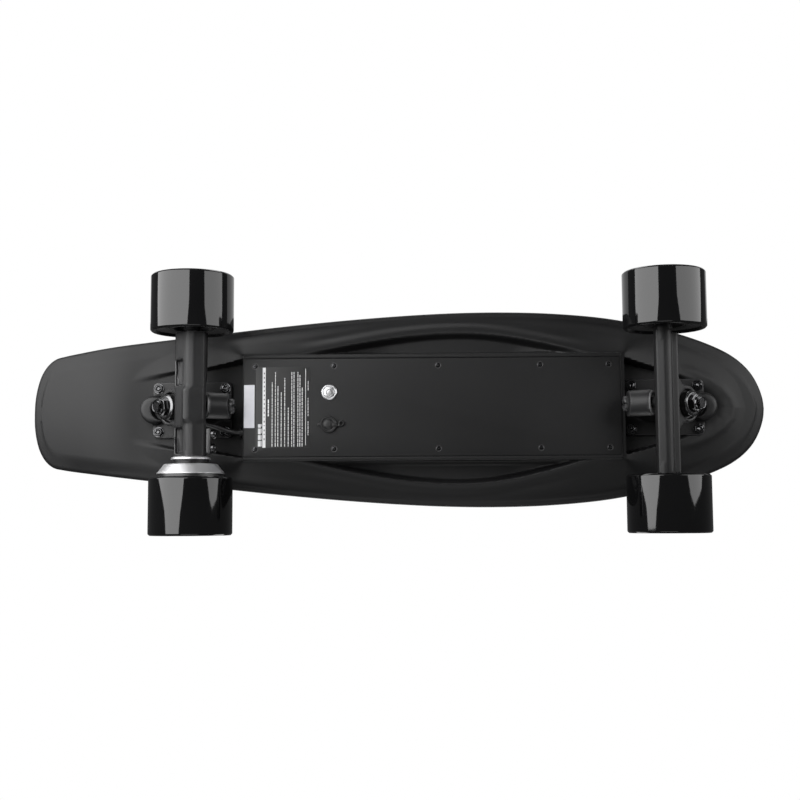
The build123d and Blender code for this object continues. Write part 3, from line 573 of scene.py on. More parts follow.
def deck_shape():
    """The deck as one closed skin: rings near its edge, and rows across its middle."""
    half = half_outline()
    count = len(half)
    normals = []
    for i in range(count):
        way = (half[min(i + 1, count - 1)] - half[max(i - 1, 0)]).normalized()
        normals.append(Vector((-way.y, way.x)))
    normals[0], normals[-1] = Vector((-1, 0)), Vector((1, 0))
    mirrored = [[Vector((v.x, -v.y)) for v in line[-2:0:-1]] for line in (half, normals)]
    loop = list(zip(half + mirrored[0], normals + mirrored[1]))
    total = len(loop)
    rings = []
    for inset in (9.0, 7.0, 5.2, 3.8, 2.7, 1.7, 0.95, 0.4, 0.1, -0.1, -0.45, -1.1, -1.9, -2.8, -9.0):
        xs, ys = (np.array([p[axis] - n[axis] * abs(inset) for p, n in loop]) for axis in (0, 1))
        if inset > 0:  # below the rim's widest line; the negative insets lie above it
            zs = underside(xs, ys, np.full(xs.shape, inset)) + rim_curl(3.4, inset)
        else:
            zs = DECK_TOP + deck_lift(xs) - rim_curl(2.4, -inset)
        rings.append(list(zip(xs, ys, zs)))
    shape = Shape().skin(rings, ends="open")

    def fill(ring, lines, height):
        """Rows across the deck between mirrored points of a ring, down to a point at each end."""
        base = ring % len(rings) * total
        rows = [[base]]
        for i in range(1, count - 1):
            x, y, _ = rings[ring][i]
            ys = np.array([y * (1 - 2 * k / lines) for k in range(1, lines)])
            xs = np.full(ys.shape, x)
            start = len(shape.verts)
            shape.add(zip(xs, ys, height(xs, ys, y)), [])
            rows.append([base + i, *range(start, start + lines - 1), base + total - i])
        rows.append([base + count - 1])
        for pair in zip(rows, rows[1:]):
            a, b = (row if len(row) > 1 else row * (lines + 1) for row in pair)
            for k in range(lines):
                shape.faces.append(list(dict.fromkeys((a[k], b[k], b[k + 1], a[k + 1]))))

    fill(0, 150, lambda xs, ys, width: underside(xs, ys, width - np.abs(ys) + 9.0))
    fill(-1, 24, lambda xs, ys, width: DECK_TOP + deck_lift(xs))
    return shape


def box_skirt(shape):
    """The crisp rim round the battery cover, moulded as part of the deck."""
    outer = rounded_rect(-142.6, 212.0, -50.0, 50.0, 1.6, 4)
    inner = rounded_rect(-141.9, 211.3, -46.25, 46.25, 1.6, 4)
    rings = []
    for outline, z, inset in ((outer, 101.0, 0.0), (outer, 77.2, 0.0), (outer, 76.4, 0.25), (outer, 76.0, 0.9),
            (inner, 76.0, -0.5), (inner, 76.25, -0.1), (inner, 76.6, 0.0), (inner, 79.5, 0.0)):
        points = shrink(outline, inset) if inset > 0 else [(x, y * (1 - inset / 50)) for x, y in outline]
        rings.append([(x, y, z) for x, y in points])
    return shape.skin(rings, ends="joined")


box_skirt(deck_shape()).done("deck_body", "deck", "deck", "deck_shell", "deck_plastic", sharp=50)


# ---- battery cover, its screws and stickers
def driven_head(shape, place, radius, thick, drive, depth, crown=0.25):
    """A round screw head with a recess; drive gives the recess's radius at each angle."""
    angles = [2 * pi * k / 48 for k in range(48)]
    rings = []
    for outer, recess, z in (
            (0.98, 0, 0), (1, 0, thick * 0.45), (0.96, 0, thick * 0.8), (0.8, 0, thick + crown * 0.5),
            (0, 1, thick + crown), (0, 0.94, thick + crown - 0.1), (0, 0.8, thick - depth)):
        reach = [radius * outer + drive(a) * recess for a in angles]
        rings.append([(r * cos(a), r * sin(a), z) for a, r in zip(angles, reach)])
    shape.skin(rings, place)


def cross_drive(size):
    def radius(angle):
        fold = abs(((angle + pi / 4) % (pi / 2)) - pi / 4)
        return size * min(1.0, 0.30 / max(sin(fold), 0.05) if fold > 0.2 else 1.0) * (1.0 if fold < 0.3 else 0.9)
    return radius


def hex_drive(flats):
    return lambda angle: flats / 2 / cos((angle % (pi / 3)) - pi / 6)


def drill(target, holes, z0, z1):
    """Straight round holes through a piece, as (x, y, radius)."""
    bits = Shape()
    for x, y, radius in holes:
        bits.prism(circle(x, y, radius, 64), z0, z1)
    tool = bits.done(target.name + "_drill", "cover", "deck")
    subtract(target, tool)
    bake(target, tool).set_sharp_from_angle(angle=radians(30))


def down_from_cover(x, y, z=COVER_Z, x_hint=(1, 0, 0)):
    return place_along((x, y, z), (0, 0, -1), x_hint)


def cover_pieces():
    plate = Shape().prism(rounded_rect(-141.7, 211.1, -45.95, 45.95, 1.6), COVER_Z, 78.5, edge=0.3)
    panel = plate.done("cover_plate", "cover", "deck", "battery_cover", "cover_metal")
    drill(panel, [(BUTTON_X, BUTTON_Y, 6.4), (PORT_X, PORT_Y, 6.2)], 74.0, 81.0)
    screws, dimples = Shape(), Shape()
    for x, side in product(SCREW_XS, (-1, 1)):
        down = down_from_cover(x, side * SCREW_Y, COVER_Z + 0.12, (1, 0.3 * side, 0))
        driven_head(screws, down, 2.35, 0.25, cross_drive(1.45), 0.6, 0.12)
        dimples.lathe([(-0.05, 2.3), (0.06, 2.4), (0.14, 2.75), (0.1, 3.1), (-0.05, 3.15)],
                down_from_cover(x, side * SCREW_Y, x_hint=None), 40)
    screws.done("cover_screw_heads", "screw_dark", "deck", "cover_screws", "black_steel")
    dimples.done("cover_screw_seats", "dark_plastic", "deck", None, "cover_metal")


def label_pieces():
    """The printed label and the blank sticker; its print is plain bars, with no lettering."""
    left, print_z, base_z = -130.2, 76.395, 76.42
    base = Shape().prism(rounded_rect(left, -79.4, -38.2, 37.9, 1.2), base_z, COVER_Z, edge=0.03)
    base.done("label_base", "label_base", "deck", "labels", "label")
    silver = Shape().prism(rounded_rect(-141.4, -131.4, -21.5, 18.9, 0.5), 76.40, COVER_Z, edge=0.03)
    silver.done("silver_sticker", "sticker", "deck", None, "label")
    marks, dots = Shape(), Shape()

    def bar(px, width, y_start, y_end, shape=marks, z0=print_z, z1=base_z):
        x0, x1 = left + px, left + px + width
        shape.prism([(x0, y_start), (x1, y_start), (x1, y_end), (x0, y_end)], z0, z1, edge=0.004, steps=1)

    def words(px, width, y_top, y_bottom, seed):
        """Bars of uneven length that fill a line, like the words of a small print."""
        y, step = y_bottom, 0
        while y > y_top + 1.0:
            end = max(y - 1.0 - 2.6 * abs(sin(12.9898 * (seed + 1) + 4.1414 * step)), y_top)
            bar(px, width, end, y)
            y = end - 0.55
            step += 1

    bar(6.3, 2.9, -37.7, 37.4)
    for k, (length, start) in enumerate(((5.2, 36.2), (4.6, 30.2), (5.4, 24.8), (3.2, 18.6))):
        bar(2.1, 2.6, start - length, start)
        bar(5.1, 0.5, start - length, start - 0.4 * k)
    tops = ((15.0, -24), (18.0, -34), (20.4, -21), (23.5, -15.5), (26.8, -28), (30.1, 0), (33.4, -33.5), (35.4, -35),
            (39.1, -35), (41.0, -32), (43.1, -19.5))
    lines = [(11.2, 1.1, -8, 8)] + [(px, 0.62, top, 36.5) for px, top in tops]
    lines += [(48.7, 0.5, top, bottom) for top, bottom in ((-26, -16), (-9, 8), (13, 26))]
    for seed, line in enumerate(lines):
        words(*line, seed)
    bar(46.4, 0.42, -36.6, 35.2)
    marks.done("label_print", "label_white", "deck", None, "label", None, False)
    for k in range(16):
        y = -33 + 4.1 * k
        bar(7.5, 0.8, y, y + 1.4 + 0.8 * sin(3.1 * k), dots, 76.38, 76.396)
    dots.done("label_dots", "label_base", "deck", None, "label", None, False)


def button_and_port():
    down = down_from_cover(BUTTON_X, BUTTON_Y)
    turned("button_bezel", "chrome", "deck", "power_button_housing", "dark_plastic", down,
           [(-1.0, 5.42), (1.15, 5.42), (1.5, 5.8), (1.5, 6.6), (0.9, 7.35), (0.0, 7.5), (-1.0, 7.4)],
           [0, 0.1, 0.2, 0.4, 0.5, 0.2, 0.1], 4, 72, 35)
    cap = Shape().lathe([(-1.9, AXIS_R), (-1.9, 5.3), (0.7, 5.3), (0.75, 4.75), (1.7, 4.6), (1.9, 4.4), (1.98, 4.0),
            (2.0, AXIS_R)], down, 72)
    cap.done("button_cap", "chrome", "power_button", "power_button_cap", "button_chrome")
    low, high = 1.96, 2.03
    angles = [radians(-90 + 32 + (360 - 64) * k / 40) for k in range(41)]
    section = ((2.1, low), (2.1, high), (2.95, high), (2.95, low))
    sign = Shape().skin([[(r * cos(a), r * sin(a), z) for r, z in section]
            for a in angles], down)
    sign.prism(rounded_rect(-0.42, 0.42, -3.5, -0.4, 0.3), low, high, down, edge=0.01, steps=1)
    sign.done("button_sign", "sign_grey", "power_button", None, "button_chrome")

    hole = down_from_cover(PORT_X, PORT_Y)
    socket = Shape().lathe(rounded([(-14, 4.0), (1.2, 4.0), (1.2, 6.8), (0.8, 7.0), (0.0, 7.0), (0, 5.5), (-14, 5.5)],
            [0, 0.15, 0.15, 0.15, 0, 0, 0]), hole, 64)
    socket.lathe([(-14, AXIS_R), (-5.0, AXIS_R), (-4.6, 0.6), (-5.0, 1.0), (-14, 1.0)], hole, 24)
    socket.lathe([(-15.5, AXIS_R), (-13.6, AXIS_R), (-13.6, 5.4), (-15.5, 5.4)], hole, 48)
    socket.done("charge_socket", "dark_plastic", "deck", "charge_port", "dark_plastic")
    lid = Shape().lathe(rounded([(1.2, AXIS_R), (1.2, 7.4), (1.5, 7.8), (2.5, 7.8), (2.9, 7.3), (2.9, 6.6),
            (2.3, 6.1), (2.2, 4.9), (2.9, 4.4), (3.4, 3.4), (3.6, 1.8), (3.6, AXIS_R)],
            [0, 0.2, 0.1, 0.2, 0.2, 0.2, 0.2, 0.3, 0.3, 0.3, 0.5, 0]), hole, 72)
    lid.solid([(-0.8, 2.9), (-0.5, 3.25), (1.25, 3.3)], hole)
    tab = rounded([(-6.5, 1.9), (-10.2, 1.5), (-10.2, -1.5), (-6.5, -1.9)], [0, 1.2, 1.2, 0], 5)
    strap = rounded([(2.6, -2.7), (8.75, -2.2), (8.75, 0.4), (2.6, 1.5)], [0.8, 0, 0, 0.8], 5)
    strap_end = rounded([(8.86, -2.3), (11.5, -2.2), (11.5, 0.4), (8.86, 0.5)], 0.1, 5)
    lid.prism(tab, 1.2, 2.8, hole, edge=0.4).prism(strap, 1.2, 3.3, hole, edge=0.5)
    lid.done("charge_lid", "rubber", "port_cap", "charge_port_cap", "rubber")
    stud = down_from_cover(-50.0, PORT_Y - 0.9, x_hint=None)
    anchor = Shape().prism(strap_end, 1.2, 2.6, hole, edge=0.3)
    anchor.lathe(rounded([(0, 1.3), (2.6, 1.3), (2.6, 2.8), (0, 2.8)], [0, 0.4, 0.6, 0]), stud, 40)
    anchor.lathe([(-2.4, AXIS_R), (0.7, AXIS_R), (0.9, 0.5), (0.6, 1.25), (-2.4, 1.35)], stud, 24)
    anchor.done("charge_lid_anchor", "rubber", "deck", "charge_cap_anchor", "rubber")


cover_pieces()
label_pieces()
button_and_port()


# ---- trucks
def cast(shape, name, body, replaces, voxel, rounds, cuts):
    """One casting out of overlapping parts, its inner corners rounded off as a mould leaves them."""
    raw = piece(name + "_parts", shape.verts, shape.faces, "truck", body)
    tool = piece(name + "_cuts", cuts.verts, cuts.faces, "truck", body)
    remesh(raw, voxel)
    remesh(tool, 0.5)
    subtract(raw, tool)
    remesh(raw, voxel)
    soft = raw.modifiers.new("soft", "SMOOTH")
    soft.factor = 0.5
    soft.iterations = rounds
    raw.name = name
    data = bake(raw, tool)
    shade(data)
    data.materials.clear()
    data.materials.append(MATS["truck"])
    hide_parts(replaces)


def spigot(shape, centre, axis, radius, normal, level, head):
    """A round bar that starts at a circle and runs along its axis until it meets a plane."""
    turn = place_along(centre, axis)
    near = [turn @ Vector((x, y, 0)) for x, y in circle(0, 0, radius)]
    n = Vector(normal)
    shape.skin([near, [p + axis * ((level - p.dot(n)) / axis.dot(n)) for p in near]], head)


RING_PLACE, CUP_PLACE = place_along(RING, KING), place_along(CUP_RIM, CUP_AXIS)
UPRIGHT = Matrix(((1, 0, 0, 0), (0, 0, -1, 0), (0, 1, 0, 0), (0, 0, 0, 1)))


def side_plate(shape, outline, half_width, place, edge=1.0):
    """An outline in the XZ plane, as thick as twice half_width across Y."""
    shape.prism(outline, -half_width, half_width, place @ UPRIGHT, edge=edge)


def rod(shape, place, low, high, radius, steps=56):
    shape.solid([(low, radius), (high, radius)], place, steps)


def make_baseplate(which, head):
    body, cuts = Shape(), Shape()
    body.prism(rounded_rect(-38.5, 37.5, -27, 27, 5), MOUNT_Z, 103, head, edge=0.8)
    body.solid([(85.0, 9.2), (85.8, 11.6), (87.8, 13.1), (91.2, 13.5), (100, 13.5)],
            head @ Matrix.Translation((34.5, 0, 0)), 56)
    spigot(body, CUP_RIM, CUP_AXIS, 12, (1, 0, 0), -41.8, head)
    spigot(body, RING + KING.normalized() * -17, -KING, 14, (0, 0, 1), 99.5, head)
    side_plate(body, [(-19, 57), (-14, 75), (-12, 99), (-37, 99), (-38.5, 74), (-41, 62)], 9, head)
    side_plate(body, [(-12, 70), (2, 70), (12, 88), (16, 99), (-20, 99)], 9.5, head)
    cuts.solid([(80, 10.8), (96, 10.2)], head @ Matrix.Translation((26.2, 0, 0)), 56)
    rod(cuts, head @ RING_PLACE, -60, -10, 5.2)
    rod(cuts, head @ CUP_PLACE, -2, 13, 7.6)
    cast(body, f"baseplate_casting_{which}", "deck", f"baseplate_{which}", 0.8, 3, cuts)


def make_cup_and_plug():
    """The pivot cups' lips, and the slotted plugs in the tubes' outer ends."""
    cup, plug = Shape(), Shape()
    for head in HEAD.values():
        cup.lathe([(-0.9, 8.2), (-1.3, 9.0), (-1.1, 10.2), (-0.4, 11.0), (0.6, 11.2), (0.6, 7.6), (13.0, 7.4),
                (13.0, AXIS_R), (9.0, AXIS_R), (8.6, 3.2), (6.6, 4.9), (4.0, 5.1), (1.6, 6.4), (0.0, 7.4)],
                head @ CUP_PLACE)
        end = head @ place_along((-41.7, 0, CUP_RIM.z + 20.7 * tan(radians(30))), (-1, 0, 0))
        for side in (-1, 1):
            angles = [radians(-86 + 172 * k / 12) for k in range(13)]
            arc = [(side * 7.15 * cos(angle), 7.15 * sin(angle)) for angle in angles]
            outline = [(side * 0.45, -7.0)] + arc + [(side * 0.45, 7.0)]
            plug.prism(outline[::side], -0.5, 4.1, end, edge=1.5, steps=5)
        plug.solid([(-1.0, 7.0), (1.2, 7.0), (1.6, 6.2)], end)
    cup.done("cup_rings", "lip", "deck", "pivot_cups", "rubber", 60)
    plug.done("plug_heads", "plug_grey", "deck", "pivot_plugs", "dark_plastic", 60)


BUSHINGS = {
    "board": ([(-15.5, 5.15), (-15.5, 12.3), (-12.5, 12.3), (-8.8, 10.9), (-5, 11.5), (-2, 11.4), (-2, 5.15)],
        [0.1, 0.8, 1.5, 3, 2, 0.8, 0.1]),
    "road": ([(2, 5.15), (2, 11.6), (4.6, 11.6), (6.5, 10.9), (10.5, 10.8), (10.5, 5.15)],
        [0.1, 0.8, 1.5, 1.5, 0.8, 0.1]),
}


def kingpin_stack():
    pins, nuts, washers = Shape(), Shape(), Shape()
    hexed = hexagon(7.15, 0.2, 0.5)
    for head in HEAD.values():
        out = head @ RING_PLACE
        pins.solid([(-28, 5.0), (17.9, 5.0)] + thread(18.0, 0.42, 9, 4.55, 5.0) + [(21.0, 4.3)], out, 48)
        nuts.prism(hexed, 12.0, 17.0, out, edge=0.5)
        nuts.lathe([(16.8, 5.1), (16.8, 6.9), (18.2, 6.6), (18.9, 6.1), (19.0, 5.4), (18.9, 5.1)], out, 48)
        pins.prism(hexed, -34, -28, out, edge=0.6)
        washers.lathe(rounded([(10.5, 5.1), (10.5, 10.6), (9.3, 11.2), (9.3, 12.0), (10.6, 12.0), (12.0, 10.2),
                (12.0, 5.1)], [0.1, 0.4, 0.2, 0.3, 0.6, 0.5, 0.1]), out, 72)
        washers.lathe(rounded([(-17, 5.1), (-17, 12.6), (-15.5, 12.6), (-15.5, 5.1)], 0.3), out, 72)
    pins.done("kingpin_bolts", "steel_screw", "deck", "kingpins", "black_steel")
    nuts.done("kingpin_lock_nuts", "steel_screw", "deck", "kingpin_nuts", "black_steel")
    washers.done("cupped_washers", "washer_steel", "deck", "bushing_washers", "bare_steel")
    for (which, head), side in product(HEAD.items(), BUSHINGS):
        turned(f"bushing_{side}_{which}", "bushing", "deck", f"bushing_{side}side_{which}", "bushing_urethane",
               head @ RING_PLACE, *BUSHINGS[side], 4, 72, 50)


def deck_bolts():
    nuts, bolts = Shape(), Shape()
    for head, sx, sy in product(HEAD.values(), (-1, 1), (-1, 1)):
        spot = head @ place_along((sx * BOLT_X, sy * BOLT_Y, MOUNT_Z), (0, 0, -1))
        spot = spot @ Matrix.Rotation(0.7 * sx + 0.4 * sy, 4, "Z")
        nuts.prism(hexagon(4.0), 0.8, 3.8, spot, edge=0.3)
        nuts.lathe([(3.6, 2.6), (3.6, 3.7), (4.6, 3.65), (4.9, 3.4), (4.9, 3.2), (4.4, 2.9), (4.4, 2.6)], spot, 36)
        nuts.lathe([(0.0, 2.6), (0.0, 5.1), (0.55, 5.1), (0.8, 4.85), (0.8, 2.6)], spot, 40)
        bolts.solid([(-1, 2.4), (3.3, 2.4)] + thread(3.4, 0.4, 6, 2.2, 2.5) + [(5.9, 2.1), (6.1, 1.8), (5.8, 1.3)],
                spot, 32)
        top = head @ Matrix.Translation((sx * BOLT_X, sy * BOLT_Y, 112.3)) @ Matrix.Rotation(0.5 * sx, 4, "Z")
        driven_head(bolts, top, 4.4, 0.35, hex_drive(3.2), 2.0, 0.15)
    nuts.done("deck_lock_nuts", "steel_screw", "deck", "mounting_nuts", "black_steel")
    bolts.done("deck_bolt_ends", "steel_screw", "deck", "mounting_bolts", "black_steel")


def ring_and_nub(shape, head):
    """A hanger's kingpin ring with its tapering plate, and the nub that sits in the pivot cup."""
    plane = head @ place_along(RING, KING, (0, 1, 0))
    shape.solid([(-6, 16.4), (-4.8, 17.5), (4.8, 17.5), (6, 16.4)], head @ RING_PLACE, 72)
    outline = [(34, -34), (32.5, -22), (18.5, -8), (15, 3), (-15, 3), (-18.5, -8), (-32.5, -22), (-34, -34)]
    shape.prism(rounded(outline, [0, 3, 4, 2, 2, 4, 3, 0], 5), -3, 6, plane, edge=1.0)
    way = Vector((BAR_X, 0, BAR_Z)) - PIVOT
    shape.lathe([(-4.8, AXIS_R), (-4.4, 2.0), (-3.0, 3.9), (0, 4.9), (2.5, 4.5), (8, 5.4), (way.length, 7.4),
            (way.length, AXIS_R)], head @ place_along(PIVOT, way), 40)


def ring_cuts(head):
    cuts, place = Shape(), head @ RING_PLACE
    rod(cuts, place, -30, 40, 7.2)
    rod(cuts, place, -30, -2, 14, 72)
    rod(cuts, place, 2, 40, 14, 72)
    return cuts


def loft_bar(shape, stations, head):
    """A bar along Y through sections given as (y, outline in the XZ plane)."""
    shape.skin([[(x, y, z) for x, z in outline] for y, outline in stations], head)


def make_front_hanger():
    head = HEAD["front"]
    body = Shape()
    for side in (-1, 1):
        body.solid([(55, 8.2), (66.5, 8.2), (68.5, 7.9), (70, 7.0)],
                head @ crosswise(BAR_X, BAR_Z, side), 64)
        body.solid([(66, 7), (77.6, 7), (78.5, 6.3)], head @ crosswise(AXLE_OFFSET, WHEEL_R, side))
    outline = rounded([(-12.9, 29.6), (-19.6, 32.3), (-20.9, 37), (-20.3, 41.5), (-16.5, 45.5), (-8, 51), (0, 53.2),
            (3.6, 52), (3.4, 48.2), (-3.7, 46.9), (-4.2, 41), (-4.6, 36.2), (-6.2, 31.9), (-8.9, 29.95),
            (-11.6, 29.62)], [0.6, 1.5, 3, 3, 3, 3, 1.2, 1.2, 1.2, 1.0, 2, 3, 1.0, 0.5, 0.3], 3)
    loft_bar(body, [(-64.5, outline), (64.5, outline)], head)
    ring_and_nub(body, head)
    cast(body, "front_hanger_casting", "truck_front", "hanger_front", 0.7, 2, ring_cuts(head))


def rear_section(pocket, bulge):
    """The rear bar's outline in the XZ plane; its outer face is pressed in, or its middle swollen."""
    corners = [(-8.2 + 4 * bulge, 26.1 - 1.3 * bulge), (-14.2 + 4 * bulge, 26.1 - 1.3 * bulge),
            (-22.6, 30.2 - 1.2 * bulge), (-24.2, 33.5), (-24.2, 42.5), (-16, 47.5), (-6, 52), (3, 54.5), (6.5, 51),
            (5.9, 44), (5.5, 40.4), (4.2, 38.7), (3.9, 38.4 + 4.5 * pocket), (-3.2, 30.9 + 5.5 * pocket),
            (-3.6, 30.4 + 0.4 * bulge)]
    return rounded(corners, [4.2, 5.0, 2.2, 2, 3, 4, 4, 2, 1.5, 1, 0.5, 0.3, 0.4, 0.4, 0.4], 3)


def make_rear_hanger():
    head = HEAD["rear"]
    body = Shape()
    plan = [(-47, 0, 0), (-44.6, 0, 0), (-43.8, 1, 0), (-21.4, 1, 0), (-20.6, 0, 0), (-18.2, 0, 0), (-13.6, 0, 1),
            (12.4, 0, 1), (16.4, 0, 0), (17.0, 0, 0), (17.8, 1, 0), (40.0, 1, 0), (40.8, 0, 0), (66, 0, 0)]
    loft_bar(body, [(y, rear_section(pocket, bulge)) for y, pocket, bulge in plan], head)
    body.solid([(60, 8.5), (69, 8.0), (77.6, 7), (78.5, 6.3)],
            head @ crosswise(AXLE_OFFSET, WHEEL_R, 1), 56)
    ring_and_nub(body, head)
    cuts = ring_cuts(head)
    # room for the baseplate's cup when the truck steers
    cuts.lathe([(-3.6, 5.9), (-3.6, 23), (12, 23), (12, 5.9)], head @ CUP_PLACE, 64)
    cast(body, "rear_hanger_casting", "truck_rear", "hanger_rear", 0.7, 2, cuts)

    clamp = Shape()
    outline = rounded([(-45, -33.5), (-21.5, -33.5), (-21.5, -45.5), (-45, -45.5)], 2.0, 5)
    clamp.prism(outline, 0.0, 4.0, head @ place_along((-24.3, 0, 0), (-1, 0, 0), (0, 1, 0)), edge=0.8)
    clamp.done("shaft_clamp_plate", "truck", "truck_rear", "shaft_clamp", "truck_paint")
    screws = Shape()
    for y in (-27, -39.7):
        spot = head @ place_along((-28.4, y, 39.5), (-1, 0, 0), (0, 1, 0))
        driven_head(screws, spot, 4.2, 4.2, hex_drive(4.0), 2.6, 0.2)
    screws.done("clamp_screw_heads", "steel_screw", "truck_rear", "clamp_screws", "black_steel")


for which, head in HEAD.items():
    make_baseplate(which, head)
make_cup_and_plug()
kingpin_stack()
deck_bolts()
make_front_hanger()
make_rear_hanger()


# ---- wheels and motor
def tyre(name, body, corners, radii):
    turned(f"urethane_{name}", "urethane", body, f"tyre_{name}", "wheel_urethane", SPINS[name], corners, radii,
           4, 160, 60)


SPINS = {name: crosswise(x, WHEEL_R, side) for name, x, side in (
    ("front_left", FRONT_AXLE_X, 1), ("front_right", FRONT_AXLE_X, -1), ("rear_right", REAR_AXLE_X, -1),
    ("rear_left", REAR_AXLE_X, 1))}


def plain_wheel(name):
    body, spin = "wheel_" + name, SPINS[name]
    inner = [(WHEEL_IN + 3.4, 19.6), (WHEEL_IN + 2.6, 25.5), (WHEEL_IN + 1.9, 31.4), (WHEEL_IN + 0.5, 32.6),
            (WHEEL_IN, 33.6), (WHEEL_IN, 36.0), (WHEEL_IN + 1.5, WHEEL_R)]
    outer = [(WHEEL_IN + WHEEL_OUT - y, r) for y, r in reversed(inner)]
    tyre(name, body, inner + outer, [0.3, 3, 0.8, 0.7, 0.5, 1.0, 1.2, 1.2, 1.0, 0.5, 0.7, 0.8, 3, 0.3])
    core = Shape().lathe(rounded(
        [(69.0, 19.5), (68.6, 17.0), (70.6, 15.6), (71.4, 12.6), (79.8, 11.05), (87, 11.05), (87, 8.6), (97, 8.6),
         (97, 11.05), (104.2, 11.05), (112.4, 12.6), (113.2, 15.6), (115.2, 17.0), (114.8, 19.5)],
        [0.3, 0.6, 0.8, 0.8, 0.3, 0, 0.2, 0.2, 0, 0.3, 0.8, 0.8, 0.6, 0.3], 3), spin, 96)
    rib = rounded([(12.2, 109.5), (12.6, 112.6), (15.4, 113.4), (15.8, 109.5)], 0.2, 5)
    for k in range(10):
        side_plate(core, rib, 0.7, spin @ Matrix.Rotation(2 * pi * k / 10, 4, "Z"), 0.2)
    core.done(f"core_{name}", "core", body, f"wheel_core_{name}", "wheel_core", 45)


def motor_wheel():
    tyre("rear_left", "motor_wheel", [
        (WHEEL_IN + 0.6, 30.6), (WHEEL_IN, 31.2), (WHEEL_IN, 36.0), (WHEEL_IN + 1.5, WHEEL_R),
        (WHEEL_OUT - 1.5, WHEEL_R), (WHEEL_OUT, 36.0), (WHEEL_OUT, 33.4), (WHEEL_OUT - 0.8, 31.4),
        (WHEEL_OUT - 1.4, 30.6)], [0.2, 0.4, 1.0, 1.2, 1.2, 1.0, 0.6, 0.6, 0.2])
    spin = SPINS["rear_left"]
    turned("motor_cone", "silver", "motor_wheel", "motor_cover", "silver_aluminium", spin,
           [(54, 16.9), (54, 23.2), (54.7, 24.2), (62.4, 30.2), (63.0, 30.4), (63.1, 28.0), (66, 16.5)],
           [0.3, 0.3, 0.3, 0.5, 0.3, 0.2, 0.3], around=128)
    turned("motor_can", "core", "motor_wheel", "rotor_can", "silver_aluminium", spin,
           [(63.2, 16.8), (63.2, 29.6), (65.4, 29.6), (66.0, 30.5), (116.4, 30.5), (117.0, 29.8), (116.6, 26.6),
            (115.6, 26.0), (115.4, 21.0), (116.0, 20.2), (115.4, 14.0), (114.2, 12.1), (104.2, 12.1), (104.2, 16),
            (110, 18), (110, 27.6), (66.3, 27.6), (66.3, 16.8)], 0.2, around=128)
    turned("motor_collar_ring", "silver", "truck_rear", "motor_collar", "silver_aluminium", spin,
           [(47.3, 6.1), (47.3, 15.4), (48.2, 17.3), (49.6, 17.8), (50.0, 17.4), (50.0, 6.1)],
           [0.1, 0.5, 0.6, 0.3, 0.1, 0.1])
    turned("motor_seal_ring", "rubber", "truck_rear", "motor_seal", "rubber", spin,
           [(50.0, 6.1), (50.0, 16.4), (51.4, 16.4), (51.8, 15.8), (52.3, 16.2), (53.6, 16.2), (53.6, 6.1)],
           [0.1, 0.3, 0.2, 0.2, 0.2, 0.3, 0.1])


for name in ("front_left", "front_right", "rear_right"):
    plain_wheel(name)
motor_wheel()


# ---- motor cable
def motor_cable():
    route = [(-183.4, 15.5, 37.5), (-178, 15.8, 49.5), (-172.5, 16.3, 61.5), (-163, 19.4, 73.0), (-153.5, 22.5, 84.0),
            (-145.5, 22.5, 84.0), (-136.5, 22.5, 84.0)]
    curve = bpy.data.curves.new("cable_line", "CURVE")
    curve.dimensions = "3D"
    spline = curve.splines.new("NURBS")
    spline.points.add(len(route) - 1)
    for point, (x, y, z) in zip(spline.points, route):
        point.co = (x * MM, y * MM, z * MM, 1)
    spline.order_u = 4
    spline.use_endpoint_u = True
    spline.resolution_u = 12
    curve.bevel_depth = 2.1 * MM
    curve.bevel_resolution = 6
    curve.use_fill_caps = True
    line = add_object("cable_temp", curve)
    data = evaluated_mesh(line)
    bpy.data.objects.remove(line)
    shade(data)
    obj = add_object("motor_lead", data)
    data.materials.clear()
    data.materials.append(MATS["lead"])
    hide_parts("motor_cable")
    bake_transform(obj)


motor_cable()


# ---- camera, floor, light
def make_camera():
    data = bpy.data.cameras.new("main_camera")
    data.sensor_width = 36.0
    data.lens = 1216.966 * 36.0 / 800.0
    data.clip_start = 0.05
    data.clip_end = 50
    right = Vector((0.99990105, 0.00572176, 0.01285108))
    up = Vector((0.00691346, -0.99548286, -0.09468938))
    back = Vector((0.01225124, 0.09476886, -0.99542392))
    turn = Matrix((right, up, back)).transposed().to_4x4()
    turn.translation = Vector((18.706, 101.353, -1055.958)) * MM
    cam = add_object("main_camera", data)
    cam.matrix_world = turn
    bpy.context.scene.camera = cam


def area_light(name, centre, target, width, height, radiance):
    data = bpy.data.lights.new(name, "AREA")
    data.shape = "RECTANGLE"
    data.size, data.size_y = width, height
    data.energy = radiance * pi * width * height
    turn = (Vector(target) - Vector(centre)).to_track_quat("-Z", "Y").to_matrix().to_4x4()
    turn.translation = Vector(centre)
    add_object(name, data).matrix_world = turn


# the outline of each soft panel, as (y, z) on its leaning plane; the tyres' bands mirror these
LEFT_PANEL = [(-760, -835), (-240, -820), (-200, -800), (50, -620), (85, -580), (100, -563), (122, -545), (190, -500),
        (190, -245), (122, -215), (100, -200), (83, -175), (65, -140), (50, -108), (0, 20), (-180, 115),
        (-240, 130), (-760, 130)]
RIGHT_PANEL = [(-480, -830), (-240, -800), (47, -440), (60, -420), (72, -385), (84, -342), (95, -308), (84, -244),
        (72, -176), (60, -104), (48, -48), (-150, 160), (-240, 200), (-480, 200)]


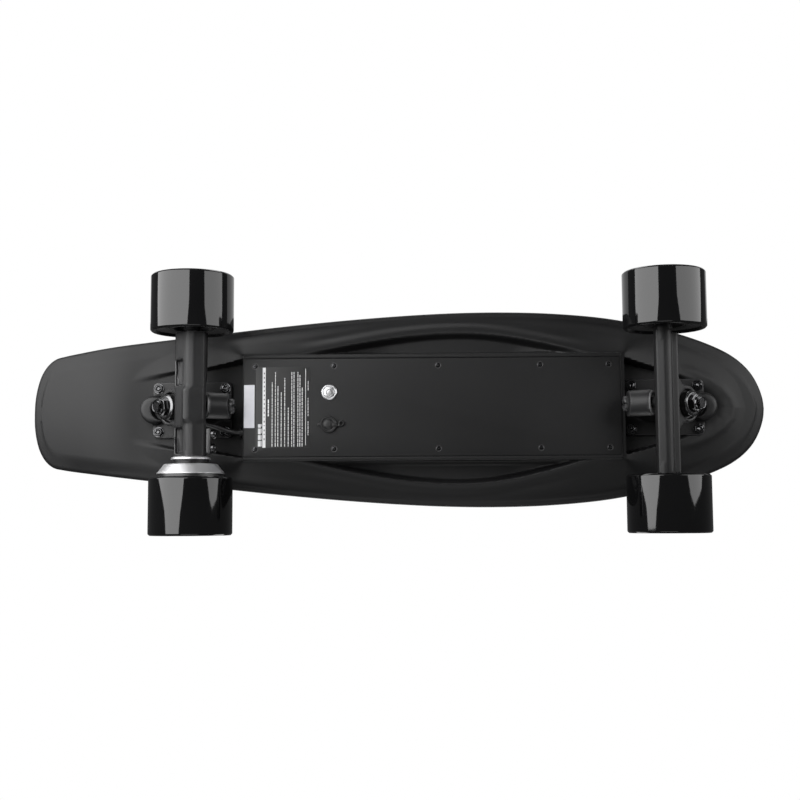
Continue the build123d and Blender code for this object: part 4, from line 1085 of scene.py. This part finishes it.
def soft_panel(name, outline, x0, lean, radiance):
    """A glowing studio panel that lights and reflects but doesn't show itself."""
    points = [(x0 + lean * (z + 812), y, z) for y, z in outline]
    data = bpy.data.meshes.new(name)
    data.from_pydata([tuple(c * MM for c in p) for p in points], [], [list(range(len(points)))])
    panel = add_object(name, data)
    mat = bpy.data.materials.new(name)
    mat.use_nodes = True
    tree = mat.node_tree
    tree.nodes.clear()
    node(tree, "OutputMaterial", Surface=node(tree, "Emission", Strength=radiance).outputs["Emission"])
    data.materials.append(mat)
    panel.visible_camera = False
    panel.visible_shadow = False
    return panel


def make_floor():
    """A pale floor that shows from above only; the photograph looks up through it."""
    data = bpy.data.meshes.new("floor")
    size = 60.0
    data.from_pydata([(-size, -size, 0), (size, -size, 0), (size, size, 0), (-size, size, 0)], [], [(0, 1, 2, 3)])
    floor = add_object("floor", data)
    floor.location.z = -0.0004
    mat, tree, shader = new_material("floor_pale", Roughness=0.7, Specular_IOR_Level=0.1,
            Emission_Color=(1, 1, 1, 1), Emission_Strength=0.6)
    feed(shader, "Base Color", ramp(tree, noise(tree, 3.0), (0.3, 0.44), (0.7, 0.46)))
    mix = node(tree, "MixShader", Fac=node(tree, "NewGeometry").outputs["Backfacing"])
    feed(mix, 1, shader.outputs["BSDF"])
    feed(mix, 2, node(tree, "BsdfTransparent").outputs["BSDF"])
    feed(tree.nodes["Material Output"], "Surface", mix.outputs["Shader"])
    data.materials.append(mat)
    floor.visible_shadow = False
    floor.visible_glossy = False
    floor.visible_diffuse = False
    return floor


def make_world():
    """White where the camera looks straight at it, dim where it lights the board."""
    world = bpy.data.worlds.new("studio")
    bpy.context.scene.world = world
    world.use_nodes = True
    tree = world.node_tree
    tree.nodes.clear()
    mix = node(tree, "MixShader", Fac=node(tree, "LightPath").outputs["Is Camera Ray"])
    for index, tint, strength in ((1, (0.98, 0.99, 1.0, 1), 0.10), (2, (1, 1, 1, 1), 1.0)):
        feed(mix, index, node(tree, "Background", Color=tint, Strength=strength).outputs["Background"])
    node(tree, "OutputWorld", Surface=mix.outputs["Shader"])


make_camera()
floor_sheet = make_floor()
make_world()
# the panels light the board but leave no bright patch where they pass through the floor
unlit = bpy.data.collections.new("not_lit_by_panels")
unlit.objects.link(floor_sheet)
unlit.collection_objects[0].light_linking.link_state = "EXCLUDE"
for panel in (soft_panel("soft_left", LEFT_PANEL, -170, -0.7127, 4.7),
        soft_panel("soft_right", RIGHT_PANEL, 600, 0.3125, 3.1)):
    panel.light_linking.receiver_collection = unlit
area_light("low_left", (-0.02, 1.15, -0.85), (0.05, 0.12, 0.1), 1.0, 0.6, 2.3)
area_light("low_right", (-0.15, -1.1, -0.85), (0, -0.12, 0.1), 0.8, 0.6, 0.45)
area_light("soft_above", (0.10, -0.42, 0.62), (0.10, -0.42, 0), 1.4, 0.5, 0.6)
area_light("high_left", (0.1, 1.7, 1.25), (0, 0, 0.08), 1.8, 0.9, 2.8)
area_light("high_right", (-0.1, -1.9, 1.1), (0, 0, 0.08), 1.6, 0.8, 2.6)
bpy.context.scene.view_settings.view_transform = "Standard"
bpy.context.scene.view_settings.look = "None"
